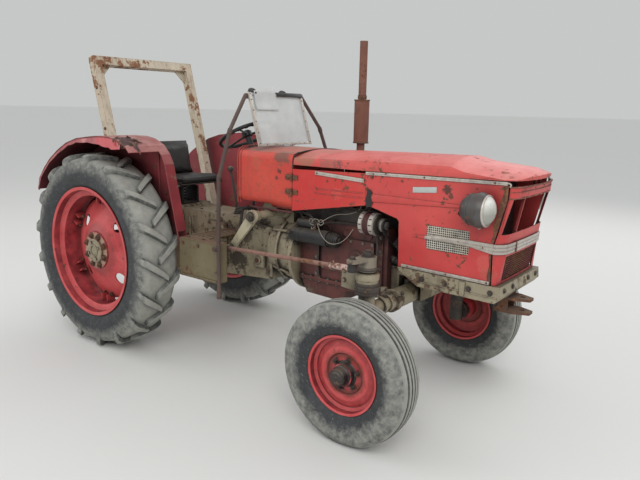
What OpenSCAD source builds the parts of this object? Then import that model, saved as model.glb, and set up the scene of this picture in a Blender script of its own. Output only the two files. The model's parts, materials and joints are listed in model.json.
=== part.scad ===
// Vintage two-wheel-drive farm tractor, standing as parked with its wheels nearly straight.
// Lengths in millimetres, x forward, y to the left, z up from the ground.
// Places along x are first given from the rear axle and then moved by centre_x.

/* [Stance] */
// distance between the rear and front axle centres
wheelbase = 2280; // [2000:10:2500]
// distance between the middles of the rear tyres
rear_track = 1400; // [1300:10:1600]
// distance between the middles of the front tyres
front_track = 1475; // [1300:5:1600]

/* [Rear wheels] */
// height of the flat lug tips above the wheel centre
rear_tip_r = 718; // [650:1:760]
// radius of the rear tyre between its lugs
rear_tread_r = 686; // [620:1:740]
// width of the rear tyre over its side walls
rear_tyre_w = 315; // [260:5:380]
// outer radius of the rear rim flange
rear_flange_r = 478; // [440:1:500]
// lugs on each half of a rear tyre
rear_lugs = 17; // [15:1:20]
// width of a lug's flat top
lug_w = 46; // [30:1:60]

/* [Front wheels] */
// outer radius of the front tyre over its ribs
front_tip_r = 400; // [360:1:430]
// width of the front tyre over its side walls
front_tyre_w = 200; // [160:5:240]
// outer radius of the front rim flange
front_flange_r = 222; // [200:1:240]
// distance of a steering pivot inwards from its tyre's middle
kingpin_inset = 152.5; // [145:2.5:175]

/* [Bonnet and nose] */
// half width of the bonnet sides
hood_half_w = 295; // [250:5:330]
// height of the bonnet's side edge
hood_edge_z = 1430; // [1415:1:1440]
// rise of the crowned top above that edge
hood_crown = 101; // [80:1:120]
// thickness of the pressed sheets
sheet = 5; // [3:0.5:8]
// where the bonnet starts behind the engine
hood_rear_x = 1500; // [1495:5:1600]
// foremost point of the bonnet's lip, with the front axle at its drawn place
nose_tip_x = 2985; // [2980:1:2990]

/* [Cab floor and guards] */
// distance of the inner wing wall inwards from a rear tyre's middle
wing_wall_in = 172; // [165:1:200]
// distance of a wing's outer edge outwards from a rear tyre's middle
wing_edge_out = 150; // [80:5:155]
// height of the foot plates
floor_z = 905; // [850:5:950]

/* [Rear linkage] */
// length of a lift arm, and from a lower link's pivot to its rod
lift_len = 320; // [280:5:360]
// length of a lower link between its eyes
link_len = 720; // [650:5:800]
// height of the lower link pivots
link_pivot_z = 500; // [450:5:560]
// radius of the hole in a lower link's ball eye
link_eye_r = 14; // [10:0.5:18]

/* [Hidden] */
// outline resolutions: round fits, smooth shells, small round details
$fn = 64;
shell_fn = 32;
small_fn = 24;

// heights and places worked out from the sizes above
rear_z = rear_tip_r;
front_z = front_tip_r;
// the front half is drawn for a front axle at drawn_axle_x and moved as one with it
drawn_axle_x = 2280;
front_shift = wheelbase - drawn_axle_x;
kingpin_y = front_track / 2 - kingpin_inset;
wing_wall_y = rear_track / 2 - wing_wall_in;
wing_edge_y = rear_track / 2 + wing_edge_out;
link_pivot_x = -140;
link_rear_x = link_pivot_x - link_len;
link_end_r = 30;
centre_x = -(nose_tip_x + front_shift + link_rear_x - link_end_r) / 2;
fit = 0.05;
gap = 6;
seat = 0.3;

// colours as the photograph shows them
red = [0.80, 0.24, 0.20];
dark_red = [0.36, 0.10, 0.11];
cream = [0.71, 0.68, 0.56];
iron = [0.25, 0.24, 0.23];
maroon = [0.27, 0.13, 0.14];
alloy = [0.76, 0.74, 0.70];
rubber = [0.33, 0.34, 0.34];
rust = [0.42, 0.27, 0.20];
black = [0.08, 0.08, 0.08];

// moves a child from rear-axle coordinates into the part's own frame
module place() {
    translate([centre_x, 0, 0]) children();
}

// moves a child of the front half, which follows the front axle
module place_front() {
    translate([centre_x + front_shift, 0, 0]) children();
}

// draws a right-hand child on its own side or mirrored to the left
module on_left() {
    mirror([0, 1, 0]) children();
}

// draws a right-hand child on both sides
module both_sides() {
    children();
    on_left() children();
}

// bar along y between two heights of y, at x and z
module bar_y(x, z, y0, y1, r, fn = 48) {
    translate([x, y0, z])
        rotate([-90, 0, 0])
            cylinder(r = r, h = y1 - y0, $fn = fn);
}

// box given by its two corners
module box(a, b) {
    translate(a) cube(b - a);
}

// profile in x and z made as thick as y0 to y1
module side_plate(y0, y1) {
    translate([0, y1, 0])
        rotate([90, 0, 0])
            linear_extrude(y1 - y0) children();
}

// profile in y and z made as long as x0 to x1
module long_prism(x0, x1) {
    translate([x0, 0, 0])
        rotate([90, 0, 90])
            linear_extrude(x1 - x0) children();
}

// round bar from point a to point b
module rod(a, b, r, fn = 32) {
    d = b - a;
    len = norm(d);
    translate(a)
        rotate([0, acos(d[2] / len), atan2(d[1], d[0])])
            cylinder(r = r, h = len, $fn = fn);
}

// rectangle with rounded corners between two corners
module round_rect(a, b, r) {
    for (c = [[a[0] + r, a[1] + r], [b[0] - r, a[1] + r],
              [b[0] - r, b[1] - r], [a[0] + r, b[1] - r]])
        translate(c) circle(r = r, $fn = shell_fn);
    translate([a[0] + r, a[1]]) square([b[0] - a[0] - 2 * r, b[1] - a[1]]);
    translate([a[0], a[1] + r]) square([b[0] - a[0], b[1] - a[1] - 2 * r]);
}

// engine and running gear

engine_rear_x = 1470;
engine_front_x = 2150;
engine_half_w = 165;
sump_z = 560;
block_top_z = 1080;
ledge = 14;

// crankcase and sump as one plain mass
module engine_block() {
    color(maroon) place_front() {
        side_plate(-engine_half_w, engine_half_w)
            polygon([[engine_rear_x, 690], [engine_rear_x + 60, sump_z + 10], [1820, sump_z],
                     [1850, 640], [engine_front_x, 660], [engine_front_x, block_top_z],
                     [engine_rear_x, block_top_z]]);
        side_plate(-engine_half_w - ledge, engine_half_w + ledge)
            polygon([[engine_rear_x, 690], [engine_rear_x + 10, 668], [engine_front_x, 668],
                     [engine_front_x, 690]]);
        side_plate(-engine_half_w - ledge, -engine_half_w + 4)
            polygon([[1660, 760], [2060, 760], [2060, 985], [1700, 985], [1660, 950]]);
        for (x = [1620, 2105])
            box([x - 16, -engine_half_w - ledge, 690], [x + 16, -engine_half_w, 1040]);
    }
}

// head with its rocker cover
module cylinder_head() {
    color(iron) place_front() {
        box([1500, -150, block_top_z], [2120, 150, 1180]);
        long_prism(1530, 2090)
            polygon([[-105, 1180], [105, 1180], [105, 1250], [70, 1285], [-70, 1285], [-105, 1250]]);
    }
}

starter_x0 = engine_rear_x;
starter_z = 975;
starter_y = -engine_half_w - 70;

// starter with its solenoid, held by the clutch housing's flange
module starter_motor() {
    color(black) place_front() {
        rod([starter_x0, starter_y, starter_z], [1760, starter_y, starter_z], 50);
        rod([1760, starter_y, starter_z], [1830, starter_y, starter_z], 43);
        rod([starter_x0 + 40, starter_y + 6, starter_z + 79], [1640, starter_y + 6, starter_z + 79], 29);
    }
}

pulley_x = 2150;
alternator_z = 1115;
alternator_y = -226;

// alternator with its cooling ring and belt pulley
module alternator() {
    color(alloy) place_front() {
        rod([2010, alternator_y, alternator_z], [2110, alternator_y, alternator_z], 66);
        box([2040, alternator_y + 10, 1046], [2100, -engine_half_w - seat, 1078]);
        rod([2110, alternator_y, alternator_z], [2175, alternator_y, alternator_z], 24);
        rod([pulley_x - 12, alternator_y, alternator_z], [pulley_x + 12, alternator_y, alternator_z], 40);
    }
}

fan_z = 1080;
fan_r = 205;
fan_blades = 6;

// fan on its water pump shaft
module cooling_fan() {
    color(iron) place_front() {
        rod([engine_front_x, 0, fan_z], [2215, 0, fan_z], 45);
        rod([pulley_x + 14, 0, fan_z], [pulley_x + 40, 0, fan_z], 80);
        for (k = [0:fan_blades - 1])
            translate([2222, 0, fan_z])
                rotate([k * 360 / fan_blades, 0, 0])
                    rotate([0, 0, 28])
                        box([-3, -38, 30], [3, 38, fan_r]);
        rod([2200, 0, fan_z], [2240, 0, fan_z], 42);
    }
}

// row pump and filters on the left of the block
module injection_pump() {
    side = engine_half_w;
    color(iron) place_front() {
        box([1680, side, 870], [1940, side + 120, 960]);
        for (x = [1705, 1765, 1825, 1885])
            rod([x, side + 60, 960], [x, side + 60, 1015], 14);
        for (x = [2000, 2096]) {
            rod([x, side + 62, 880], [x, side + 62, 1040], 44);
            box([x - 20, side, 1000], [x + 20, side + 24, 1030]);
        }
    }
}

stack_x = 1580;
stack_y = 352;

// manifold beside the head and a stack outside the left of the bonnet
module exhaust_stack() {
    bend = [stack_x, 255, 1072];
    foot = [stack_x, stack_y, 1085];
    color(rust) place_front() {
        box([1540, 150 + seat, 1096], [2100, 196, 1160]);
        rod([stack_x, 175, 1120], bend, 28);
        translate(bend) sphere(r = 29, $fn = shell_fn);
        rod(bend, foot, 28);
        translate(foot) sphere(r = 29, $fn = shell_fn);
        rod(foot, [stack_x, stack_y, 1560], 28);
        rod([stack_x, stack_y, 1560], [stack_x, stack_y, 1850], 52);
        rod([stack_x, stack_y, 1850], [stack_x, stack_y, 2240], 27);
    }
}

gearbox_top_z = 1000;

clutch_x = 1200;
bell_x = 1440;
bell_z = 820;

// gearbox between the axles, with the clutch housing that flares to the engine
module gearbox_housing() {
    front = clutch_x + front_shift;
    color(cream) place() {
        side_plate(-150, 150)
            polygon([[260, 520], [front, 590], [front, 960], [front - 300, gearbox_top_z],
                     [260, gearbox_top_z]]);
        side_plate(-162, 162)
            polygon([[560, 600], [760, 612], [760, 940], [560, 940]]);
    }
    color(cream) place_front() {
        translate([clutch_x, 0, bell_z])
            rotate([0, 90, 0])
                cylinder(r1 = 200, r2 = 240, h = bell_x - clutch_x);
        translate([bell_x, 0, bell_z])
            rotate([0, 90, 0])
                cylinder(r = 268, h = engine_rear_x - bell_x);
        translate([clutch_x + 92, 0, bell_z])
            rotate([0, 90, 0])
                cylinder(r = 234, h = 22);
        side_plate(-120, 120)
            polygon([[1060, 950], [1370, 950], [1370, 1085], [1330, 1125], [1100, 1125], [1060, 1060]]);
        bar_y(drop_pivot[0], drop_pivot[2], -steer_shaft_y, steer_shaft_y, 26);
    }
}

half_shaft_y = rear_track / 2 - 110;
hub_spigot_r = 36;
pto_z = 640;
pto_r = 17.5;
pto_tip_x = -335;
lift_pivot = [-285, 944];
lift_shaft_r = 26;
link_pin_r = 17;
link_y = 325;

// differential casting and axle trumpets
module rear_axle_housing() {
    color(cream) place() {
        side_plate(-185, 185)
            polygon([[-235, 560], [-160, 470], [180, 470], [260, 540], [260, 960],
                     [200, 1010], [-180, 1010], [-235, 950]]);
        rod([-235, 0, pto_z], [pto_tip_x, 0, pto_z], pto_r);
        for (s = [-1, 1]) {
            difference() {
                side_plate(s * 172 - 13, s * 172 + 13)
                    polygon([[-200, 900], [lift_pivot[0], 896], [lift_pivot[0] - 44, lift_pivot[1]],
                             [lift_pivot[0], 992], [-200, 1000]]);
                bar_y(lift_pivot[0], lift_pivot[1], s * 172 - 14, s * 172 + 14, lift_shaft_r + fit);
            }
            bar_y(link_pivot_x, link_pivot_z, s * 262 - 80, s * 262 + 80, link_pin_r);
        }
        for (s = [0, 180])
            rotate([0, 0, s])
                translate([0, 185, rear_z])
                    rotate([-90, 0, 0]) {
                        cylinder(r1 = 150, r2 = 95, h = 120);
                        cylinder(r = axle_tube_r, h = half_shaft_y - 185);
                        translate([0, 0, half_shaft_y - 185 - 28]) cylinder(r = 128, h = 28);
                        cylinder(r = hub_spigot_r, h = half_shaft_y - 185 + 54);
                    }
    }
}

bolster_z = 812;
casting_top_z = 880;
rim_x = [2300, 2862];
rim_z = [905, 895];
bolster_front_x = 2914;

// long casting under the nose that carries the axle pivot
module front_bolster() {
    color(cream) place_front() {
        difference() {
            side_plate(-hood_half_w - 8, hood_half_w + 8)
                polygon([[rim_x[0], rim_z[0]], [2310, 885], [2430, bolster_z],
                         [bolster_front_x - 28, bolster_z - 8], [bolster_front_x, bolster_z + 24],
                         [bolster_front_x - 6, rim_z[1]], [rim_x[1], rim_z[1]]]);
            side_plate(-hood_half_w + 12, hood_half_w - 12)
                polygon([[2330, 920], [2440, bolster_z + 20], [bolster_front_x - 38, bolster_z + 14],
                         [bolster_front_x - 38, 920]]);
        }
        difference() {
            side_plate(-110, 110)
                polygon([[engine_front_x, 690], [2330, 640], [2420, 700], [2460, bolster_z + 20],
                         [2440, casting_top_z], [2320, casting_top_z], [2300, 850],
                         [engine_front_x, 850]]);
            side_plate(-111, 111)
                translate([kingpin_x, 0]) polygon([[-75, 600], [75, 600], [75, 800], [-75, 800]]);
        }
        rod([kingpin_x - 75, 0, axle_z + 18], [kingpin_x + 75, 0, axle_z + 18], 24);
    }
}

axle_z = 700;
kingpin_x = drawn_axle_x;
housing_r = 46;
spindle_r = 28;
housing_z0 = 655;
housing_z1 = 925;

// tube axle, its sleeves and the two steering pivot housings
module front_axle_beam() {
    color(cream) place_front() {
        difference() {
            union() {
                bar_y(kingpin_x, axle_z, -kingpin_y + 20, kingpin_y - 20, 42);
                bar_y(kingpin_x, axle_z, -300, 300, 58);
                for (s = [-1, 1]) {
                    bar_y(kingpin_x, axle_z, s * 345 - 45, s * 345 + 45, 52);
                    translate([kingpin_x, s * kingpin_y, housing_z0])
                        cylinder(r = housing_r, h = housing_z1 - housing_z0);
                    translate([kingpin_x, s * kingpin_y, 830])
                        cylinder(r = 60, h = housing_z1 - 830);
                }
                box([kingpin_x - 60, -70, axle_z - 50], [kingpin_x + 60, 70, axle_z + 70]);
            }
            rod([kingpin_x - 80, 0, axle_z + 18], [kingpin_x + 80, 0, axle_z + 18], 24 + fit);
            for (s = [-1, 1])
                translate([kingpin_x, s * kingpin_y, housing_z0 - 1])
                    cylinder(r = spindle_r + fit, h = housing_z1 - housing_z0 + 2);
        }
    }
}

// radiator with its top and bottom tanks
module radiator() {
    color(black) place_front() {
        box([2340, -235, 960], [2415, 235, 1330]);
        box([2330, -240, 1330], [2425, 240, 1395]);
        box([2330, -240, 925], [2425, 240, 960]);
        for (y = [-100, 60]) box([2386, y, casting_top_z + seat], [2412, y + 40, 925]);
        difference() {
            box([2268, -fan_r - 22, 905], [2340, fan_r + 22, fan_z + fan_r + 18]);
            rod([2260, 0, fan_z], [2345, 0, fan_z], fan_r + 9);
        }
    }
}

// bonnet and nose

lip_rise = 17;
crown_r = 900;
// lid stations from back to front: x, half width, edge height, height of the crown above it
LID = [
    [hood_rear_x, hood_half_w - 8, hood_edge_z, hood_crown - 13],
    [2080, hood_half_w, hood_edge_z + 3, hood_crown],
    [2575, hood_half_w + 2, hood_edge_z + 11, hood_crown],
    [2665, hood_half_w + 2, hood_edge_z + 13, hood_crown - 23],
    [2896, hood_half_w + 3, hood_edge_z + lip_rise, hood_crown - 47],
    [2934, hood_half_w - 19, hood_edge_z + lip_rise, hood_crown - 59],
    [nose_tip_x - 24, hood_half_w - 122, hood_edge_z + lip_rise - 1, hood_crown - 69],
    [nose_tip_x - 6, hood_half_w - 230, hood_edge_z + lip_rise - 1, hood_crown - 80]
];

// crowned section, standing across the tractor, reduced by t
module lid_section(row, t, shift = 0) {
    half = row[1] - t;
    top = row[3] - t;
    side = min(96, top - 6);
    translate([row[0] - shift, 0, row[2]])
        rotate([90, 0, 90])
            linear_extrude(6)
                intersection() {
                    union() {
                        translate([-half, 0]) square([2 * half, top - side]);
                        for (s = [-1, 1])
                            translate([s * (half - side), top - side]) circle(r = side, $fn = shell_fn);
                        translate([-half + side, 0]) square([2 * (half - side), top]);
                    }
                    translate([0, top - crown_r]) circle(r = crown_r, $fn = 256);
                    translate([-half, 0]) square([2 * half, top]);
                }
}

// solid under the lid's skin, reduced by t
module lid_volume(t) {
    for (k = [0:len(LID) - 2])
        hull() {
            lid_section(LID[k], t);
            lid_section(LID[k + 1], t, k == len(LID) - 2 ? t : 0);
        }
}

hinge_x = 2958;
hinge_z = 1456;
hinge_pin_r = 6;
tab_y = 52;
ear_y = 38;

// tilting top of the bonnet, open below
module bonnet_top() {
    color(red) place_front() {
        difference() {
            lid_volume(0);
            translate([0, 0, -1]) lid_volume(sheet);
        }
        for (s = [-1, 1])
            difference() {
                side_plate(s * tab_y - 6, s * tab_y + 6)
                    polygon([[hinge_x - 9, hinge_z - 9], [hinge_x + 8, hinge_z - 9],
                             [hinge_x + 8, hinge_z + 15.5], [hinge_x - 9, hinge_z + 23]]);
                bar_y(hinge_x, hinge_z, s * tab_y - 10, s * tab_y + 10, hinge_pin_r + 0.4);
            }
    }
}

panel_top_z = hood_edge_z - gap;
notch_x = 2290;
// front edge of a side panel, as x and z from its foot to its top
PANEL_FRONT = [
    [2852, rim_z[1] + 8], [2847, 1057], [2850, 1111], [2866, 1166], [2884, 1255], [2908, 1345],
    [2911, hood_edge_z + lip_rise - gap]
];
// openings of the front: heights of the upper grille and of the lower mesh
upper_z = [1170, 1356];
lower_z = [912, 1046];

// front side panel with its engine cut-out and mesh window
module side_panel() {
    color(red) place_front()
        side_plate(-hood_half_w, -hood_half_w + sheet)
            difference() {
                polygon(concat(PANEL_FRONT,
                    [[2052, panel_top_z], [2062, 1238], [notch_x - 12, 1180], [notch_x, 1165],
                     [notch_x + 10, rim_z[0] + seat]]));
                round_rect([2470, 1035], [2722, 1168], 22);
            }
}

// hinged rear door panel between tank and front panel
module rear_door() {
    color(red) place_front()
        side_plate(-hood_half_w, -hood_half_w + sheet)
            polygon([[1500, 1135], [2061.4, 1232], [2051.4, panel_top_z - 4], [1500, panel_top_z - 20]]);
}

mask_gap = 8;
// level rows of the nose shell: height, seam x, corner start x, corner end x, corner end y, front x
MASK = [
    [rim_z[1] + seat, 2860, 2868, 2883, 262, 2886],
    [1057, 2855, 2866, 2904, 238, 2909],
    [1111, 2858, 2870, 2908, 236, 2913],
    [1166, 2874, 2886, 2915, 238, 2920],
    [1356, 2916, 2924, 2950, 246, 2960],
    [hood_edge_z + lip_rise - gap - 22, 2919, 2928, 2956, 242, 2972]
];

// thin level slice of the nose shell, reduced by t
module mask_slice(row, t) {
    half = hood_half_w - t;
    turn = row[4] - t / 2;
    translate([0, 0, row[0]])
        linear_extrude(0.4)
            polygon([[row[1] - min(t, 1), -half], [row[2], -half],
                     [(row[2] + row[3]) / 2 + 3 - t, -(half + turn) / 2 - 6], [row[3] - t, -turn],
                     [row[5] - 2 - t, -90], [row[5] - t, 0], [row[5] - 2 - t, 90], [row[3] - t, turn],
                     [(row[2] + row[3]) / 2 + 3 - t, (half + turn) / 2 + 6], [row[2], half],
                     [row[1] - min(t, 1), half]]);
}

// solid behind the nose shell's skin, reduced by t
module mask_volume(t) {
    for (k = [0:len(MASK) - 2])
        hull() {
            mask_slice(MASK[k], t);
            mask_slice(MASK[k + 1], t);
        }
}

// nose shell with its wide upper grille and lower mesh opening
module nose_mask() {
    top = MASK[len(MASK) - 1][0];
    color(red) place_front()
        difference() {
            mask_volume(0);
            mask_volume(sheet);
            translate([0, 0, -1]) mask_volume(sheet);
            translate([0, 0, 1]) mask_volume(sheet);
            side_plate(-hood_half_w - 5, hood_half_w + 5)
                polygon([[2890, upper_z[0]], [3000, upper_z[0]], [3000, upper_z[1]], [2935, upper_z[1]]]);
            box([2850, -232, lower_z[0]], [2950, 232, lower_z[1]]);
        }
    color(red) place_front() {
        for (s = [-1, 1]) {
            side_plate(s * ear_y - 5, s * ear_y + 5)
                polygon([[hinge_x - 12, top - 25], [hinge_x + 9, top - 25], [hinge_x + 9, top - 3],
                         [hinge_x - 4, top + 4], [hinge_x + 6, hinge_z - 6], [hinge_x + 6, hinge_z + 6],
                         [hinge_x - 6, hinge_z + 8], [hinge_x - 12, hinge_z - 6]]);
            bar_y(hinge_x, hinge_z, s * (ear_y + tab_y + 6) / 2 - 12, s * (ear_y + tab_y + 6) / 2 + 12, hinge_pin_r);
        }
        side_plate(-155, -147)
            polygon([[2900, upper_z[0] - 10], [2914, upper_z[0] - 10], [2952, upper_z[1] + 10],
                     [2938, upper_z[1] + 10]]);
    }
}

// woven mesh in the lower nose opening, drawn as crossed bars
module nose_mesh() {
    half = 231.6;
    high = lower_z[1] - lower_z[0] - 1;
    lean = atan2(MASK[1][5] - MASK[0][5], MASK[1][0] - MASK[0][0]);
    color(dark_red) place_front()
        translate([2874.7, 0, lower_z[0] + 0.4])
            rotate([0, lean, 0]) {
                for (z = [3:13:high - 4])
                    box([0, -half, z], [4, half, z + 4]);
                for (y = [-half:17.6:half - 4])
                    box([-4, y, 0], [0, y + 4, high]);
                box([-4, half - 4, 0], [0, half, high]);
            }
}

// fuel tank shell behind the bonnet
module tank_cowl() {
    color(red) place_front()
        difference() {
            long_prism(cowl_x[0], cowl_x[1])
                intersection() {
                    round_rect([-hood_half_w + 6, 1125], [hood_half_w - 6, 1522], 70);
                    translate([0, 1522 - 1500]) circle(r = 1500, $fn = 256);
                }
            long_prism(1000, 1300)
                round_rect([-hood_half_w + 16, 1100], [hood_half_w - 16, 1400], 50);
            translate([cowl_x[0] - 10, 0, 1522])
                rotate([0, 30, 0])
                    box([-80, -400, -80], [30, 400, 60]);
        }
}

cowl_x = [1005, 1492];
dash_x = cowl_x[0] - seat;

// instrument board and steering column under the wheel
module dashboard() {
    color(black) place_front() {
        side_plate(-210, 210)
            polygon([[dash_x, 1200], [960, 1220], [930, 1395], [985, 1440], [dash_x, 1440]]);
        rod(wheel_hub - 230 * column_axis, wheel_hub - (14 + gap) * column_axis, 22);
        rod(wheel_hub - (15 + gap) * column_axis, wheel_hub + 12 * column_axis, wheel_shaft_r);
        side_plate(-60, 60)
            polygon([[dash_x, 1130], [920, 1150], [905, 1300], [960, 1300], [dash_x, 1200]]);
    }
}

wheel_hub = [815, 0, 1585];
wheel_tilt = 28;
wheel_r = 205;
wheel_shaft_r = 10;
column_axis = [-sin(wheel_tilt), 0, cos(wheel_tilt)];

// three-spoke steering wheel
module steering_wheel() {
    color(black) place_front()
        translate(wheel_hub)
            rotate([0, -wheel_tilt, 0]) {
                rotate_extrude() translate([wheel_r, 0]) circle(r = 13, $fn = small_fn);
                difference() {
                    translate([0, 0, -14]) cylinder(r = 38, h = 34);
                    translate([0, 0, -15]) cylinder(r = wheel_shaft_r + fit, h = 29);
                }
                for (k = [0, 120, 240])
                    rotate([0, 0, k + 60])
                        rod([30, 0, 0], [wheel_r - 4, 0, 0], 8, small_fn);
            }
}

screen_top = [1085, 1880];
screen_foot = [1190, 1523];
screen_half_w = 275;

// clear sheet with a flat strip around its edge
module windscreen() {
    high = norm(screen_top - screen_foot);
    color([0.82, 0.85, 0.85]) place_front()
        screen_place() {
            box([0, -screen_half_w, 6], [4, screen_half_w, high]);
            difference() {
                box([4, -screen_half_w, 6], [9, screen_half_w, high]);
                box([3.9, -screen_half_w + 24, 30], [10, screen_half_w - 24, high - 20]);
            }
        }
    color(alloy) place_front()
        box([screen_foot[0] - 12, -30, screen_foot[1] - 0.7], [screen_foot[0] + 14, 30, screen_foot[1] + 16]);
}

// leans a child back as the windscreen leans
module screen_place() {
    translate([screen_foot[0], 0, screen_foot[1]])
        rotate([0, atan2(screen_top[0] - screen_foot[0], screen_top[1] - screen_foot[1]), 0])
            children();
}

// driver's place

// hoop from the step's foot up to the windscreen's top
module entry_hoop() {
    r = 13;
    knees = [[1168, -628, 560], [1160, -622, 905], [1146, -600, 1330], [1120, -470, 1640],
             [1083, -290, 1862]];
    color(rust) place_front()
        for (k = [0:len(knees) - 2]) {
            rod(knees[k], knees[k + 1], r, small_fn);
            if (k > 0) translate(knees[k]) sphere(r = r + 1.5, $fn = small_fn);
        }
    color(rust) place_front() {
        box([step_x[1] - front_shift + seat, -640, 868], [1160, -606, 892]);
        screen_place() box([-14, -306, 332], [-seat, -258, 354]);
    }
}

// outline of a wing in x and z, moved inwards by t
module wing_line(t) {
    offset(delta = -t)
        polygon([[-615, 1128], [-585, 1215], [-505, 1300], [-415, 1375], [-300, 1445], [-180, 1503],
                 [-40, 1542], [100, 1558], [200, 1568], [340, 1568], [440, 1552], [530, 1512],
                 [590, 1452], [625, 1388], [690, 1130], [762, 830], [560, 830], [500, 870],
                 [-420, 870], [-540, 960]]);
}

// wing with its inner wall, curved top and turned-down lip
module wing() {
    color(red) place() {
        difference() {
            side_plate(-wing_edge_y, -wing_wall_y) wing_line(0);
            side_plate(-wing_edge_y - 1, -wing_wall_y - sheet) wing_line(sheet);
            side_plate(-wing_edge_y - 1, -wing_wall_y - sheet)
                polygon([[-700, 1126], [-600, 1126], [748, 935], [748, 700], [-700, 700]]);
            side_plate(-wing_edge_y - 1, -wing_wall_y - 80)
                polygon([[540, 1440], [640, 1560], [1000, 1560], [1000, 700], [420, 700]]);
        }
    }
}

step_y = [-wing_wall_y - 82, -wing_wall_y + 4];
step_x = [762.3, 1136 + front_shift];

// foot plate with the box below its outer edge
module foot_step() {
    t = sheet;
    color(cream) place() {
        difference() {
            box([step_x[0], step_y[0], 640], [step_x[1], step_y[1], floor_z]);
            box([step_x[0] + t, step_y[0] + t, 630], [step_x[1] - t, step_y[1] - t, floor_z - t]);
        }
        box([step_x[0], step_y[1], floor_z - t], [960, -152, floor_z]);
        box([step_x[0] + 60, -300, floor_z - t - 40], [step_x[0] + 110, -152, floor_z - t]);
    }
}

// bucket seat on its pedestal
module driver_seat() {
    color(black) place() {
        side_plate(-215, 215)
            polygon([[-60, 1150], [330, 1180], [340, 1230], [20, 1225], [-70, 1500],
                     [-120, 1500], [-90, 1180]]);
        side_plate(-90, 90)
            polygon([[-20, 1010 + seat], [180, 1010 + seat], [200, 1150], [200, 1169.6], [0, 1154.2]]);
    }
}

lever_lean = [-60, -20, 330];

// gear and hydraulic levers with the pedals
module control_levers() {
    color(iron) place_front() {
        for (base = [[760, -40, gearbox_top_z], [840, 60, gearbox_top_z]]) {
            knob = base + lever_lean;
            translate([base[0], base[1], base[2] + seat]) cylinder(r1 = 30, r2 = 18, h = 26);
            rod(base + [0, 0, 10], knob, 9, small_fn);
            translate(knob) sphere(r = 22, $fn = small_fn);
        }
        for (y = [[-150, -290], [150, 250]])
            bar_y(1000, 930, min(y), max(y), 14);
        for (y = [-270, -200, 230]) {
            rod([1000, y, 930], [1030, y, 1085], 10, small_fn);
            box([1008, y - 28, 1085], [1058, y + 28, 1096]);
        }
    }
}

// steering

drop_pivot = [1290, -441, 1090];
drop_ball = [1105, -490, 862];
arm_plate_in = -430;
arm_plate = [arm_plate_in - 22, arm_plate_in];
steer_shaft_y = -arm_plate_in - seat;
arm_reach = 115;
arm_back = 22;
steer_arm_z = 990;
ball_r = 23;
ball_pin_r = 8;
stub_r = 26;
hub_out = 70;
rod_front = [kingpin_x - arm_back, -kingpin_y - arm_reach, steer_arm_z - gap - ball_r];

// drop arm on the steering box's side shaft
module drop_arm() {
    low = [drop_ball[0], drop_ball[2]];
    color(cream) place_front() {
        bar_y(drop_pivot[0], drop_pivot[2], arm_plate[0] - 8, arm_plate[1], 42);
        bar_y(low[0], low[1], arm_plate[0], arm_plate[1], 24);
        side_plate(arm_plate[0], arm_plate[1])
            polygon([[drop_pivot[0] - 32, drop_pivot[2] + 14], [drop_pivot[0] + 36, drop_pivot[2] - 20],
                     [low[0] + 19, low[1] - 14], [low[0] - 19, low[1] + 14]]);
    }
}

// drag link between drop arm and steering arm
module drag_link() {
    color(rust) place_front()
        difference() {
            union() {
                rod(drop_ball, rod_front, 13);
                translate(drop_ball) sphere(r = ball_r, $fn = shell_fn);
                translate(rod_front) sphere(r = ball_r + 1, $fn = shell_fn);
            }
            translate(rod_front - [0, 0, 40]) cylinder(r = ball_pin_r + fit, h = 80);
        }
}

// spindle, stub axle and steering arm of one front wheel
module knuckle() {
    color(iron) place_front() {
        translate([kingpin_x, -kingpin_y, front_z - 20])
            cylinder(r = spindle_r, h = steer_arm_z + 22 - front_z + 20);
        translate([kingpin_x, -kingpin_y, front_z - 45])
            cylinder(r = 44, h = housing_z0 - gap - front_z + 45);
        bar_y(kingpin_x, front_z, -front_track / 2 - hub_out + 8, -kingpin_y, stub_r);
        translate([kingpin_x, -kingpin_y, housing_z1 + gap])
            cylinder(r = 48, h = steer_arm_z + 22 - housing_z1 - gap);
        translate([0, 0, steer_arm_z])
            linear_extrude(22)
                polygon([[kingpin_x + 36, -kingpin_y], [kingpin_x - 36, -kingpin_y],
                         [rod_front[0] - 24, rod_front[1] - 20], [rod_front[0] + 24, rod_front[1] - 20]]);
        translate([rod_front[0], rod_front[1], rod_front[2] - 22])
            cylinder(r = ball_pin_r, h = steer_arm_z - rod_front[2] + 30);
    }
}

// wheels

// front rim, hub and cap, axis along z with the outside up
module front_wheel_metal() {
    f = front_flange_r;
    rotate_extrude()
        polygon([[f, 66], [f, 72], [f - 14, 68], [f - 16, 40], [f - 34, 30], [f - 36, -24], [f - 16, -40],
                 [f - 14, -68], [f, -72], [f, -66], [f - 8, -62], [f - 9, -36], [f - 28, -22],
                 [f - 27, 24], [f - 9, 38], [f - 8, 62]]);
    rotate_extrude()
        polygon([[60, 22], [112, 22], [120, 30], [150, 30], [f - 33, 18], [f - 33, 26], [152, 38],
                 [116, 38], [108, 30], [60, 30]]);
    rotate_extrude()
        polygon([[stub_r + fit, -62], [64, -62], [70, -20], [70, 22], [62, 22], [62, 62], [46, 70],
                 [42, 104], [0, 106], [0, 78], [stub_r + fit, 78]]);
}

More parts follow.
